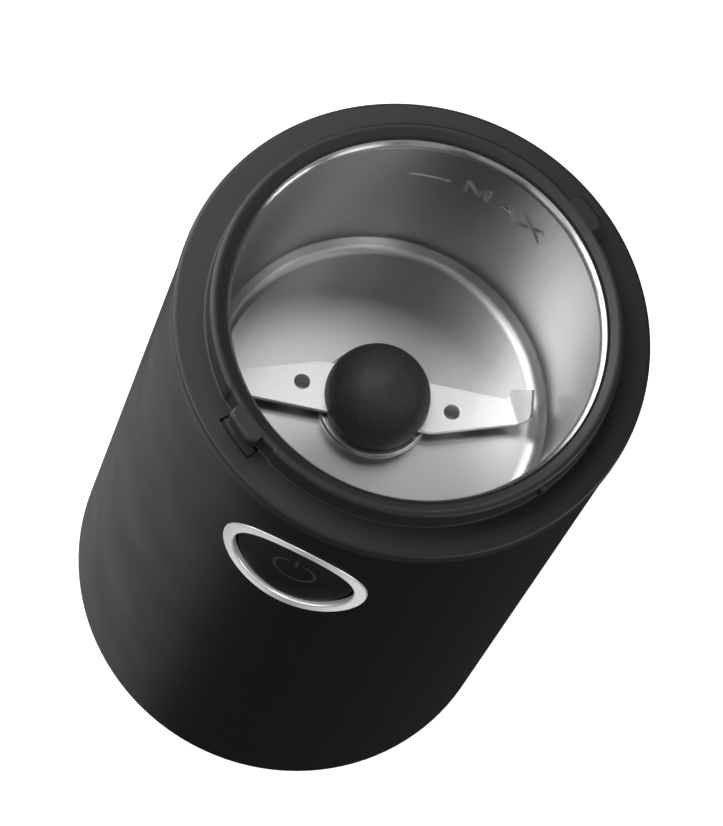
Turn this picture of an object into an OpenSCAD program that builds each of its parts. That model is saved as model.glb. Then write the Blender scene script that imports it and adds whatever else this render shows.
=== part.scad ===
// Electric spice grinder with a fixed steel bowl, a two-armed blade, a round push button on the
// front and a bayonet collar for a lid. Millimetres, +Z up, front towards -Y. The origin is the
// centre of the footprint, on the surface that the feet stand on.

/* [Bowl] */
// Inside diameter of the grinding bowl, below its rim
bowl_d = 71; // [66:0.2:78]
// Thickness of the bowl's sheet steel
bowl_t = 0.6; // [0.4:0.1:0.8]
// Depth of the bowl, from its rim to its floor
bowl_depth = 47.1; // [42:0.1:50]
// How much narrower, in radius, the bowl's wall is at its foot
bowl_draft = 1; // [0.5:0.1:1.5]
// Inside radius of the curve from the floor to the slope at the wall's foot
bowl_fillet = 3.5; // [2.5:0.1:4.5]
// Steepness of that slope, in degrees
heel_slope = 45; // [38:1:52]
// Height of the slope, where the wall begins
heel_rise = 2.3; // [2:0.1:2.8]
// Inside radius of the corner between the slope and the wall
heel_corner = 0.5; // [0.3:0.1:0.8]
// Inside radius of the roll that turns the wall outwards at the rim
rim_roll = 1.9; // [1.4:0.1:2.2]
// Width of the roll that shows inside the collar
rim_show = 1; // [0.7:0.1:1.3]
// Width of the flange beyond the bowl's wall
rim_flange = 2.3; // [2:0.1:2.7]
// Diameter of the raised boss in the middle of the floor
floor_boss_d = 22.8; // [21:0.2:27]
// Height of the boss above the floor
floor_boss_h = 1; // [0.6:0.1:1.2]

/* [Body] */
// Height from the lower edge of the shell to the lid ledge
body_h = 150.1; // [146:0.1:165]
// Wall of the housing shell
shell_wall = 2.2; // [1.8:0.1:2.6]
// Radius of the shell's lower edge
base_edge_r = 1.2; // [0.6:0.1:2]
// Height of the feet below the shell
foot_drop = 1.5; // [1:0.1:3]

/* [Collar] */
// Width of the lid ledge, from the neck to the collar's edge
ledge_w = 6.25; // [5.8:0.05:7.5]
// Thickness of the ledge plate
ledge_t = 3; // [2.4:0.1:4]
// How far the collar stands out over the shell
collar_overhang = 0.2; // [0.1:0.1:0.8]
// Radius of the collar's outer edge
collar_edge_r = 0.7; // [0.4:0.1:1.2]
// Height of the neck above the ledge
neck_h = 5.5; // [5:0.1:7]
// Wall of the neck
neck_wall = 1.25; // [1:0.05:1.8]
// How far the bowl's rim lies under the top of the neck
rim_drop = 1.4; // [1.1:0.1:2]
// Thickness of the gasket on the bowl's rim
gasket_t = 0.6; // [0.4:0.1:0.8]
// Reach of a lid lug out from the neck
lug_reach = 2.2; // [1.6:0.1:2.4]
// Width of a lid lug along the neck
lug_w = 7.7; // [6:0.1:9]
// Rounding of a lid lug's corners
lug_round = 1.6; // [0.8:0.1:1.7]
// Height of a lid lug
lug_h = 3; // [2:0.1:3.4]
// Direction of the front lock, seen from above
lock_az = 240.4; // [234:0.2:246]
// Width of the lock slot across the ledge
slot_w = 2.7; // [2.5:0.1:3]
// Half the angle that the lock slot spans
slot_half = 6.2; // [6:0.1:7.5]
// Half the angle of the thinned stretch of neck at each lug
relief_half = 10.2; // [9:0.1:13]
// Depth of that thinned stretch
relief_depth = 0.3; // [0.2:0.05:0.4]
// Direction of the lid stop on the right, seen from above
stop_az = 331; // [326:1:336]

/* [Blade] */
// Direction of the blade's longer edge at rest
blade_az = 16; // [0:1:90]
// Thickness of the blade's steel
blade_t = 1.2; // [0.8:0.1:1.6]
// Width of the blade at the hub
blade_w = 10.1; // [8:0.1:12]
// Height of the blade's top over the bowl floor
blade_lift = 3.75; // [3.4:0.05:6]
// Where an arm starts to narrow, from the axis
blade_taper_u = 11.8; // [11:0.1:14]
// Where an arm's tip turns up, from the axis
blade_bend_u = 27.8; // [24:0.1:28.5]
// Angle of the turned-up tip
tip_angle = 40; // [20:1:60]
// Length of the turned-up tip
tip_len = 6; // [4.5:0.1:6.5]
// Diameter of the hole in each arm
arm_hole_d = 2.9; // [2:0.1:4]
// Distance of the arm holes from the axis
arm_hole_u = 15.1; // [14.5:0.1:18]
// Diameter of the round cap on the hub
cap_d = 21; // [19:0.1:22]

/* [Button] */
// How far the button's centre lies below the lid ledge
button_drop = 27.4; // [24:0.1:30]
// Outside diameter of the button's trim ring
bezel_d = 30.5; // [29:0.1:33]
// Width of the trim ring's face
bezel_w = 2.4; // [2:0.05:2.8]
// Depth of the trim ring's seat in the shell
bezel_seat = 1.2; // [1:0.1:1.4]
// How far the button's edge lies under the ring's face
button_sink = 0.6; // [0.4:0.1:1.2]
// Depth of the hollow across the button's face
button_dish = 0.6; // [0.3:0.1:0.9]
// Travel of the button
button_travel = 2; // [1.5:0.1:2.4]
// Travel of the lid interlock
lock_travel = 2; // [1.5:0.1:2.4]

/* [Motor] */
// Diameter of the motor shaft
shaft_d = 6; // [5:0.1:7]
// Height of the stack of stator and armature sheets
stack_h = 20; // [16:0.5:24]
// Width of the stator sheets
stator_x = 54; // [50:0.5:56]
// Depth of the stator sheets
stator_y = 46; // [45:0.5:47]
// Diameter of the armature
armature_d = 30; // [28:0.2:30.6]
// Gap between the armature and the stator
air_gap = 0.6; // [0.4:0.1:0.8]
// Number of armature slots
armature_slots = 12; // [10:1:14]
// Diameter of the commutator
commutator_d = 20; // [18:0.2:22]
// Diameter of the cooling fan
fan_d = 52; // [44:0.5:56]
// Number of fan blades
fan_blades = 9; // [7:1:12]

/* [Fits] */
// Play between parts that are fastened together
seat_gap = 0.1; // [0.05:0.01:0.15]
// Radial running clearance in the bearings
run_gap = 0.03; // [0.02:0.01:0.05]
// Play round a part that slides in a guide
slide_gap = 0.1; // [0.05:0.01:0.15]
// Open gap between parts that move past each other
free_gap = 0.3; // [0.2:0.05:0.4]

/* [Hidden] */
$fn = 96;
eps = 0.05;
half_turn = 180;

// Radii, built outwards from the bowl
bowl_r = bowl_d / 2;
bowl_out = bowl_r + bowl_t;
heel_r = bowl_r - bowl_draft;
toe_r = heel_r - heel_rise / tan(heel_slope);
neck_in = bowl_out + rim_flange + seat_gap;
neck_r = neck_in + neck_wall;
collar_r = neck_r + ledge_w;
shell_r = collar_r - collar_overhang;
shell_in = shell_r - shell_wall;
slot_r = neck_r + slot_w;
lip_in = bowl_r + rim_show;
lip_bevel = 1.5;
lip_edge = 0.2;
neck_edge = 0.3;
relief_foot = 0.2;

// Heights, built up from the table and down from the ledge
base_z = foot_drop;
ledge_z = base_z + body_h;
part_z = ledge_z - ledge_t;
neck_z = ledge_z + neck_h;
rim_z = neck_z - rim_drop;
lip_z = rim_z + gasket_t;
floor_z = rim_z - bowl_depth;
boss_z = floor_z + floor_boss_h;
blade_z = floor_z + blade_lift;
bowl_under = floor_z - bowl_t;

// Spigot that centres the collar in the shell
spigot_h = 5;
spigot_r = shell_in - seat_gap;
spigot_in = slot_r + 0.15;

// Base cover
cover_t = 2.5;
cover_z = base_z + 0.4;
cover_top = cover_z + cover_t;
cover_r = shell_in - 0.2;
vent_count = 20;
vent_w = 2.2;
vent_in = 10;
vent_out = 25;
foot_r = 7;
foot_pos = shell_in - 10.6;
foot_az = [45, 135, 225, 315];
foot_seat = 1.6;
foot_stem_r = 2;
foot_head_r = 2.8;
foot_head_h = 1.2;

// Screws: head radius, head height and shank radius
screw_head_r = 2.8;
screw_head_h = 1.8;
screw_r = 1.5;
small_head_r = 2;
small_head_h = 1.4;
small_r = 1.1;
recess_w = 0.8;
base_screw_az = [0, 90, 180, 270];
base_screw_pos = shell_in - 5.1;
base_screw_len = 10;
base_boss_r = 3.6;
base_boss_h = 8;
counterbore = 1.1;
collar_screw_az = [0, 110, 190];
collar_post_r = 2.3;
collar_post_pos = neck_in + 0.2 + collar_post_r;
collar_post_h = 6;
collar_boss_h = 10;
collar_screw_len = 14;
rib_w = 3;

// Cord gland at the back
cord_z = base_z + 17.5;
cord_bore_r = 3.3;
gland_r = 4.9;
gland_flange_r = 6.6;
gland_flange_t = 1;
gland_face = shell_r - 0.9;
gland_snap_r = 5.6;
gland_snap_t = 1.6;

// Motor deck under the bowl
deck_gap = 5;
deck_t = 2.5;
deck_top = bowl_under - deck_gap;
deck_z = deck_top - deck_t;
deck_r = shell_in - free_gap;
deck_ledge_w = 2.2;
deck_ledge_h = 3;
deck_screw_az = [30, 150, 205, 335];
deck_screw_pos = shell_in - 4.3;
deck_boss_r = 3.4;
deck_boss_h = 12;
deck_screw_len = 12;
ledge_gap_angle = 29;
support_inset = 0.25;
support_r = toe_r - bowl_fillet * tan(heel_slope / 2) - support_inset;
support_w = 2.5;
seal_r = 8;
seal_flange_r = 9.4;
seal_flange_t = 0.4;
seal_h = 5.1;
hub_wall = 2;

// Interlock: push rod in the gap between the bowl and the shell
rod_offset = 0.85;
rod_pos = neck_r + rod_offset;
rod_r = 1.4;
head_drop = 0.4;
head_gap = 0.35;
head_top = ledge_z - head_drop;
head_chamfer = 0.5;
head_half = slot_half - 0.4;
flange_half = slot_half + 1.9;
flange_t = 1.5;
flange_top = part_z - free_gap;
tower_h = 25;
tower_w = 9;
tower_gap = 1.2;
tower_in = bowl_out + tower_gap;
tower_inset = 0.7;
tower_out = shell_in - tower_inset;
spring_r = 2;
spring_wire = 0.25;
spring_out = spring_r + spring_wire;
spring_turns = 7;
spring_lo = deck_top + tower_h;
spring_hi = flange_top - flange_t;
plate_t = 1.5;
plate_w = 13.2;
lock_switch_in = rod_pos - 5.6;
lock_switch_d = 7.6;
lock_switch_w = 12.8;
lock_switch_h = 10.3;
lock_switch_top = deck_z - 3.7;
lock_plunger_z = deck_z - 0.8;
lock_plunger_h = 5.2;

// Power button, its leg and the switch that it works
button_z = ledge_z - button_drop;
button_gap = 0.35;
button_hole_r = bezel_d / 2 - bezel_w;
button_r = button_hole_r - button_gap;
button_flange_w = 1.3;
button_flange_r = button_hole_r + button_flange_w;
button_flange_t = 2.7;
button_flange_lap = 0.3;
button_back = shell_in - button_flange_t;
button_face = collar_r - button_sink;
leg_w = 10;
leg_t = 2.5;
leg_inset = 1.2;
leg_out = shell_in - leg_inset;
leg_in = leg_out - leg_t;
leg_foot = 8.5;
notch_w = leg_w + 4;
switch_w = 16;
switch_d = 10;
switch_h = 12;
switch_reach = 2.9;
switch_front = leg_in - switch_reach;
switch_plunger_r = 2.2;
switch_plunger_l = 4.7;
switch_axis_z = deck_z - 5.5;

// Motor, hung from the deck on four bushes
bush_h = 4;
bush_r = 4.5;
bush_pos = 16;
bracket_z = deck_z - bush_h;
bracket_t = 3;
bearing_r = 6;
bearing_h = 7;
bearing_lip = 1.5;
cup_wall = 2.4;
post_x = stator_x / 2 - 4.5;
post_y = stator_y / 2 - 4.5;
post_r = 3.2;
post_h = 13;
stack_top = bracket_z - bracket_t - post_h;
stack_z = stack_top - stack_h;
winding_h = 6;
stator_corner = 6;
bore_r = armature_d / 2 + air_gap;
slot_lo = bore_r + 2;
slot_hi = slot_lo + 4;
coil_gap = 0.2;
coil_from = 50;
coil_to = 74;
pole_mouth_lap = 2;
pole_mouth_half = half_turn / 2 + pole_mouth_lap - coil_to;
coil_trim = 0.6;
coil_end_gap = 1;
tooth_slot_r = 1.6;
tooth_slot_pos = armature_d / 2 - 2.8;
tooth_mouth = 1;
commutator_gap = 1;
commutator_h = 10;
commutator_top = stack_z - winding_h - commutator_gap;
lower_post_h = 20.5;
lower_top = stack_z - lower_post_h;
brush_w = 5;
brush_h = 6;
brush_len = 12;
brush_gap = 0.1;
brush_z = commutator_top - 5;
holder_wall = 1.1;
holder_in = commutator_d / 2 + 2;
holder_out = commutator_d / 2 + brush_len + 5;
fan_z = lower_top - bearing_h - 12;
fan_h = 10;
fan_disc_t = 1.2;
fan_hub_r = 6;
fan_blade_t = 1.2;
fan_sweep = 28;
fan_root = fan_hub_r + 3;
fan_reach = sqrt(pow(fan_d / 2 - 0.5, 2) - pow(fan_root * sin(fan_sweep), 2))
    - fan_root * cos(fan_sweep);
shaft_z = fan_z - 1.5;
shaft_top = blade_z + 6;
carrier_r = cap_d / 2 - 0.1;
carrier_gap = 0.4;
carrier_z = boss_z + seal_flange_t + carrier_gap;

// Colours
soft_black = [0.05, 0.05, 0.055];
smooth_black = [0.09, 0.09, 0.095];
rubber_grey = [0.13, 0.13, 0.13];
steel = [0.78, 0.78, 0.8];
bright = [0.88, 0.88, 0.9];
sheet_grey = [0.42, 0.43, 0.46];
copper = [0.72, 0.42, 0.22];
brass = [0.8, 0.66, 0.34];
carbon = [0.16, 0.16, 0.17];
natural = [0.85, 0.84, 0.8];
signal_red = [0.7, 0.12, 0.1];

// ---- Helpers -------------------------------------------------------------------------------

// A plain ring or tube between two heights
module tube(r_out, r_in, z0, z1) {
    translate([0, 0, z0]) difference() {
        cylinder(r = r_out, h = z1 - z0);
        translate([0, 0, -eps]) cylinder(r = r_in, h = z1 - z0 + 2 * eps);
    }
}

// A solid disc between two heights
module disc(r, z0, z1) {
    translate([0, 0, z0]) cylinder(r = r, h = z1 - z0);
}

// Part of a ring, spanning half degrees each side of az
module sector(r_in, r_out, az, half, z0, z1) {
    rotate([0, 0, az - half]) rotate_extrude(angle = 2 * half)
        translate([r_in, z0]) square([r_out - r_in, z1 - z0]);
}

// Children placed at a radius and a direction
module at(r, az, z = 0) {
    rotate([0, 0, az]) translate([r, 0, z]) children();
}

// Children pointing out of the front of the body, with their own +Z along -Y
module to_front(z) {
    translate([0, 0, z]) rotate([90, 0, 0]) children();
}

// Children at the four corners of a rectangle
module at_corners(x, y) {
    for (i = [-1, 1], j = [-1, 1]) translate([i * x, j * y, 0]) children();
}

// A rectangle with round corners
module round_rect(x, y, r) {
    square([x - 2 * r, y], center = true);
    square([x, y - 2 * r], center = true);
    at_corners(x / 2 - r, y / 2 - r) circle(r = r);
}

// A screw with its head under z = 0 and its shank going up; the head has a cross recess
module screw(head_r, head_h, r, length) {
    difference() {
        union() {
            translate([0, 0, -head_h]) cylinder(r = head_r, h = head_h);
            translate([0, 0, -eps]) cylinder(r = r, h = length + eps);
        }
        for (a = [0, 90]) rotate([0, 0, a]) translate([-head_r * 0.6, -recess_w / 2, -head_h - eps])
            cube([head_r * 1.2, recess_w, head_h * 0.5 + eps]);
    }
}

// Points of an arc about a centre
function arc(cx, cz, r, from, to, n = 10) =
    [for (i = [0 : n]) let (a = from + (to - from) * i / n) [cx + r * cos(a), cz + r * sin(a)]];

function unit(v) = v / norm(v);

// Points that round the corner b, between a and c, to radius r
function corner_arc(a, b, c, r, n = 6) =
    let (u = unit(a - b), w = unit(c - b), half = acos(u * w) / 2, m = unit(u + w))
    let (o = b + m * r / sin(half), p = b + u * r / tan(half), q = b + w * r / tan(half))
    let (a0 = atan2(p[1] - o[1], p[0] - o[0]), a1 = atan2(q[1] - o[1], q[0] - o[0]))
    arc(o[0], o[1], r, a0, a0 + (a1 - a0 + 3 * half_turn) % (2 * half_turn) - half_turn, n);

function normal(v) = [v[1], -v[0]] / norm(v);

// The corner b, between a and c, moved so that both sides lie a distance d further out
function outset(a, b, c, d) =
    let (n = normal(b - a), m = normal(c - b)) b + d * (n + m) / (1 + n * m);

// A coil spring standing on z = 0, with mean radius r and wire radius w
module coil(r, w, h, turns, sides = 8, per_turn = 16) {
    steps = turns * per_turn;
    rise = h - 2 * w;
    points = [for (i = [0 : steps]) let (a = 360 * i / per_turn, z = w + rise * i / steps)
        for (j = [0 : sides - 1]) let (b = 360 * j / sides, q = r + w * cos(b))
            [q * cos(a), q * sin(a), z + w * sin(b)]];
    walls = [for (i = [0 : steps - 1], j = [0 : sides - 1]) let (k = (j + 1) % sides)
        [i * sides + j, (i + 1) * sides + j, (i + 1) * sides + k, i * sides + k]];
    first = [for (j = [0 : sides - 1]) j];
    last = [for (j = [sides - 1 : -1 : 0]) steps * sides + j];
    polyhedron(points = points, faces = concat(walls, [first], [last]), convexity = 8);
}

// ---- Housing -------------------------------------------------------------------------------

// Shell wall, with a rounded lower edge
module shell_wall_body() {
    rotate_extrude() polygon(concat(
        [[shell_in, part_z], [shell_in, base_z]],
        arc(shell_r - base_edge_r, base_z + base_edge_r, base_edge_r, -90, 0),
        [[shell_r, part_z]]));
}

// A screw boss inside the shell, tied to the wall by a rib
module shell_boss(pos, az, r, z0, z1) {
    at(pos, az, z0) {
        cylinder(r = r, h = z1 - z0);
        translate([0, -rib_w / 2, 0]) cube([shell_in - pos + shell_wall / 2, rib_w, z1 - z0]);
    }
}

module housing_shell() {
    color(soft_black) difference() {
        union() {
            shell_wall_body();
            for (az = base_screw_az)
                shell_boss(base_screw_pos, az, base_boss_r, cover_top, cover_top + base_boss_h);
            for (az = deck_screw_az)
                shell_boss(deck_screw_pos, az, deck_boss_r, deck_z - deck_boss_h, deck_z - seat_gap);
            for (az = collar_screw_az)
                shell_boss(collar_post_pos, az, collar_post_r,
                    part_z - collar_post_h - collar_boss_h, part_z - collar_post_h);
            difference() {
                tube(shell_in + shell_wall / 2, shell_in - deck_ledge_w,
                    deck_z - deck_ledge_h, deck_z);
                sector(shell_in - deck_ledge_w - eps, shell_in - eps, (lock_az + 270) / 2, ledge_gap_angle,
                    deck_z - deck_ledge_h - eps, deck_z + eps);
            }
        }
        for (az = base_screw_az) at(base_screw_pos, az, cover_top - eps)
            cylinder(r = screw_r + eps, h = base_boss_h + 2 * eps);
        for (az = deck_screw_az) at(deck_screw_pos, az, deck_z - deck_boss_h - eps)
            cylinder(r = screw_r + eps, h = deck_boss_h + 2 * eps);
        for (az = collar_screw_az)
            at(collar_post_pos, az, part_z - collar_post_h - collar_boss_h - eps)
                cylinder(r = small_r + eps, h = collar_boss_h + 2 * eps);
        to_front(button_z) cylinder(r = button_hole_r, h = shell_r + 1);
        bezel_blank(bezel_d / 2 + seat_gap, shell_r - bezel_seat, shell_r + 1);
        at(0, 90, cord_z) rotate([0, 90, 0]) {
            cylinder(r = gland_r + seat_gap, h = shell_r + 1);
            translate([0, 0, gland_face]) cylinder(r = gland_flange_r + seat_gap, h = shell_wall);
        }
    }
}

// A round piece of a curved layer of the body's front
module bezel_blank(r, r_in, r_out) {
    intersection() {
        tube(r_out, r_in, button_z - r - 1, button_z + r + 1);
        to_front(button_z) cylinder(r = r, h = r_out + 1);
    }
}

module button_bezel() {
    color(bright) difference() {
        bezel_blank(bezel_d / 2, shell_r - bezel_seat, collar_r);
        to_front(button_z) cylinder(r = button_hole_r, h = collar_r + 1);
    }
}

// Revolved section of the collar: neck with its inner lip, ledge plate and spigot
module collar_section() {
    polygon(concat(
        [[lip_in, lip_z], [lip_in, lip_z + lip_edge], [lip_in + lip_bevel, neck_z]],
        arc(neck_r - neck_edge, neck_z - neck_edge, neck_edge, 90, 0, 4),
        [[neck_r, ledge_z]],
        arc(collar_r - collar_edge_r, ledge_z - collar_edge_r, collar_edge_r, 90, 0, 6),
        [[collar_r, part_z], [spigot_r, part_z], [spigot_r, part_z - spigot_h]],
        [[spigot_in, part_z - spigot_h], [spigot_in, part_z], [neck_in, part_z]],
        [[neck_in, lip_z]]));
}

// Lid lug, flush with the top of the neck
module lug() {
    intersection() {
        translate([neck_r - neck_wall / 2, 0, neck_z - lug_h]) linear_extrude(lug_h)
            translate([lug_reach / 2, 0]) round_rect(lug_reach + neck_wall, lug_w, lug_round);
        disc(neck_r + lug_reach, neck_z - lug_h, neck_z);
    }
}

module top_collar() {
    color(smooth_black) difference() {
        union() {
            difference() {
                rotate_extrude() collar_section();
                for (az = [lock_az, lock_az + 180])
                    sector(neck_r - relief_depth, neck_r + 1, az, relief_half,
                        ledge_z + relief_foot, neck_z + eps);
            }
            for (az = [lock_az, lock_az + 180]) rotate([0, 0, az]) lug();
            for (az = [stop_az, stop_az + 180]) at(neck_r, az, neck_z - 3.4)
                cylinder(r = 1.1, h = 2.6, $fn = 32);
            for (az = collar_screw_az) at(collar_post_pos, az, part_z - collar_post_h)
                cylinder(r = collar_post_r, h = collar_post_h + eps);
        }
        sector(neck_r - relief_depth / 2, slot_r, lock_az, slot_half,
            part_z - eps, ledge_z + relief_foot + eps);
        sector(spigot_in - 1, spigot_r + 1, lock_az, flange_half + 1, part_z - spigot_h - eps, part_z);
        for (az = collar_screw_az) at(collar_post_pos, az, part_z - collar_post_h - eps)
            cylinder(r = small_r + eps, h = collar_post_h);
    }
}

module collar_screws() {
    color(steel) for (az = collar_screw_az)
        at(collar_post_pos, az, part_z - collar_post_h - collar_boss_h)
            screw(small_head_r, small_head_h, small_r, collar_screw_len);
}

module base_cover() {
    color(smooth_black) difference() {
        disc(cover_r, cover_z, cover_top);
        for (az = foot_az) at(foot_pos, az, cover_z - eps) {
            cylinder(r = foot_r + seat_gap, h = foot_seat + eps);
            cylinder(r = foot_stem_r + seat_gap, h = cover_t + 2 * eps);
        }
        for (az = base_screw_az) at(base_screw_pos, az, cover_z - eps) {
            cylinder(r = screw_head_r + 0.2, h = counterbore + eps);
            cylinder(r = screw_r + seat_gap, h = cover_t + 2 * eps);
        }
        for (i = [0 : vent_count - 1]) at(0, 360 * (i + 0.5) / vent_count, cover_z - eps)
            linear_extrude(cover_t + 2 * eps) {
                translate([vent_in, -vent_w / 2]) square([vent_out - vent_in, vent_w]);
                translate([vent_out, 0]) circle(d = vent_w, $fn = 24);
            }
    }
}

module base_screws() {
    color(steel) for (az = base_screw_az) at(base_screw_pos, az, cover_z + counterbore)
        screw(screw_head_r, counterbore, screw_r, base_screw_len);
}

// Push-in rubber foot: pad, stem and barbed head
module foot(i) {
    color(rubber_grey) at(foot_pos, foot_az[i]) {
        rotate_extrude() polygon(concat([[0, 0]],
            arc(foot_r - 0.8, 0.8, 0.8, -90, 0, 5),
            [[foot_r, cover_z + foot_seat], [foot_stem_r, cover_z + foot_seat]],
            [[foot_stem_r, cover_top], [foot_head_r, cover_top]],
            [[foot_stem_r * 0.7, cover_top + foot_head_h], [0, cover_top + foot_head_h]]));
    }
}

module cord_gland() {
    color(rubber_grey) translate([0, 0, cord_z]) rotate([-90, 0, 0]) rotate_extrude() polygon([
        [cord_bore_r, shell_in - 0.7 - gland_snap_t], [gland_r, shell_in - 0.7 - gland_snap_t],
        [gland_snap_r, shell_in - 0.7], [gland_r, shell_in - 0.7], [gland_r, gland_face],
        [gland_flange_r, gland_face], [gland_flange_r, gland_face + gland_flange_t],
        [cord_bore_r, gland_face + gland_flange_t]]);
}

// ---- Bowl ----------------------------------------------------------------------------------

module steel_bowl() {
    boss_r = floor_boss_d / 2;
    edge = [boss_r + floor_boss_h, floor_z];
    toe = [toe_r, floor_z];
    heel = [heel_r, floor_z + heel_rise];
    top = [bowl_r, rim_z - rim_roll];
    toe_out = outset(edge, toe, heel, bowl_t);
    heel_out = outset(toe, heel, top, bowl_t);
    color(steel) rotate_extrude() polygon(concat(
        [[seal_r + eps, boss_z], [boss_r, boss_z], edge],
        corner_arc(edge, toe, heel, bowl_fillet),
        corner_arc(toe, heel, top, heel_corner),
        arc(bowl_r + rim_roll, rim_z - rim_roll, rim_roll, half_turn, 90, 6),
        [[bowl_out + rim_flange, rim_z], [bowl_out + rim_flange, rim_z - bowl_t]],
        arc(bowl_r + rim_roll, rim_z - rim_roll, rim_roll - bowl_t, 90, half_turn, 6),
        corner_arc(heel_out + top - heel, heel_out, toe_out, heel_corner + bowl_t),
        corner_arc(heel_out, toe_out, toe_out + edge - toe, bowl_fillet + bowl_t),
        [[boss_r + floor_boss_h - bowl_t / 2, bowl_under], [boss_r - bowl_t / 2, boss_z - bowl_t]],
        [[seal_r + eps, boss_z - bowl_t]]));
}

module bowl_gasket() {
    color(rubber_grey) tube(neck_in - seat_gap, lip_in, rim_z, lip_z);
}

module shaft_seal() {
    color(rubber_grey) difference() {
        union() {
            disc(seal_r, boss_z - seal_h, boss_z);
            disc(seal_flange_r, boss_z, boss_z + seal_flange_t);
        }
        disc(shaft_d / 2 + 2 * run_gap, boss_z - seal_h - 1, boss_z + 1);
    }
}

// ---- Deck and switches ---------------------------------------------------------------------

module motor_deck() {
    color(natural) difference() {
        union() {
            disc(deck_r, deck_z, deck_top);
            tube(support_r, support_r - support_w, deck_top - eps, bowl_under);
            disc(seal_r + free_gap + hub_wall, deck_top - eps, boss_z - bowl_t);
            at(0, lock_az) {
                translate([tower_in, -tower_w / 2, deck_top - eps])
                    cube([tower_out - tower_in, tower_w, tower_h + eps]);
                translate([lock_switch_in - plate_t, -plate_w / 2, deck_z - 14])
                    cube([plate_t, plate_w, 14 + eps]);
            }
        }
        disc(seal_r + free_gap, deck_z - eps, boss_z);
        at(rod_pos, lock_az, deck_z - eps)
            cylinder(r = rod_r + slide_gap, h = deck_t + tower_h + 2 * eps);
        translate([-notch_w / 2, -deck_r - 1, deck_z - eps])
            cube([notch_w, deck_r + 1 - leg_in + button_travel + 0.6, deck_t + 2 * eps]);
        at_corners(bush_pos, bush_pos) disc(screw_r + seat_gap, deck_z - eps, deck_top + eps);
        for (az = deck_screw_az) at(deck_screw_pos, az, deck_z - eps)
            cylinder(r = screw_r + seat_gap, h = deck_t + 2 * eps);
    }
}

module deck_screws() {
    color(steel) for (az = deck_screw_az) at(deck_screw_pos, az, deck_top)
        mirror([0, 0, 1]) screw(screw_head_r, screw_head_h, screw_r, deck_screw_len);
}

module mount_screws() {
    color(steel) at_corners(bush_pos, bush_pos) translate([0, 0, deck_top]) mirror([0, 0, 1])
        screw(screw_head_r, screw_head_h, screw_r, deck_t + bush_h + bracket_t);
}

module motor_bush(i) {
    x = i % 2 == 0 ? -bush_pos : bush_pos;
    y = i < 2 ? -bush_pos : bush_pos;
    color(rubber_grey) translate([x, y, 0])
        tube(bush_r, screw_r + seat_gap, bracket_z, deck_z);
}

// Main switch, hung under the deck behind the button's leg
module power_switch() {
    color(carbon) difference() {
        translate([-switch_w / 2, -switch_front, deck_z - switch_h])
            cube([switch_w, switch_d, switch_h]);
        translate([0, -switch_front - eps, switch_axis_z]) rotate([-90, 0, 0])
            cylinder(r = switch_plunger_r + slide_gap, h = switch_plunger_l + eps);
    }
}

module power_switch_plunger() {
    color(signal_red) translate([0, -leg_in + free_gap, switch_axis_z]) rotate([-90, 0, 0])
        cylinder(r = switch_plunger_r, h = switch_plunger_l);
}

// Small switch on the deck's plate, worked by the push rod
module interlock_switch() {
    color(carbon) at(0, lock_az) difference() {
        translate([lock_switch_in, -lock_switch_w / 2, lock_switch_top - lock_switch_h])
            cube([lock_switch_d, lock_switch_w, lock_switch_h]);
        translate([rod_pos, 0, lock_plunger_z - lock_plunger_h - lock_travel - 0.3])
            cylinder(r = rod_r + slide_gap, h = lock_plunger_h + lock_travel);
    }
}

module interlock_switch_plunger() {
    color(signal_red) at(rod_pos, lock_az)
        disc(rod_r, lock_plunger_z - lock_plunger_h, lock_plunger_z);
}

// Head in the lock slot, retaining flange and push rod
module interlock_plunger() {
    lo = neck_r + head_gap;
    hi = slot_r - head_gap;
    color(smooth_black) {
        rotate([0, 0, lock_az - head_half]) rotate_extrude(angle = 2 * head_half) polygon([
            [lo, flange_top - eps], [hi, flange_top - eps], [hi, head_top - head_chamfer],
            [hi - head_chamfer, head_top], [lo, head_top]]);
        sector(rod_pos - spring_out, rod_pos + spring_out, lock_az, flange_half, spring_hi, flange_top);
        at(rod_pos, lock_az) disc(rod_r, lock_plunger_z + free_gap, spring_hi + eps);
    }
}

module interlock_spring() {
    color(steel) at(rod_pos, lock_az, spring_lo)
        coil(spring_r, spring_wire, spring_hi - spring_lo, spring_turns);
}

// ---- Power button --------------------------------------------------------------------------

// Section of the cap's layer of the body, hollowed over the cap's height
module dished_section() {
    dish_r = (button_r * button_r + button_dish * button_dish) / (2 * button_dish);
    swing = asin(button_r / dish_r);
    polygon(concat([[button_back, button_z + button_r], [button_back, button_z - button_r]],
        arc(button_face + dish_r - button_dish, button_z, dish_r,
            half_turn + swing, half_turn - swing, 16)));
}

// Button cap with a hollowed face, a flange behind the shell and a leg down to the switch
module power_button() {
    color(smooth_black) {
        intersection() {
            to_front(button_z) cylinder(r = button_r, h = button_face + 1);
            rotate_extrude() dished_section();
        }
        bezel_blank(button_flange_r, button_back - button_flange_lap, shell_in - free_gap);
        translate([-leg_w / 2, -leg_out, switch_axis_z - leg_foot / 2])
            cube([leg_w, leg_t, button_z - switch_axis_z + leg_foot / 2]);
    }
}

// ---- Motor ---------------------------------------------------------------------------------

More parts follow.
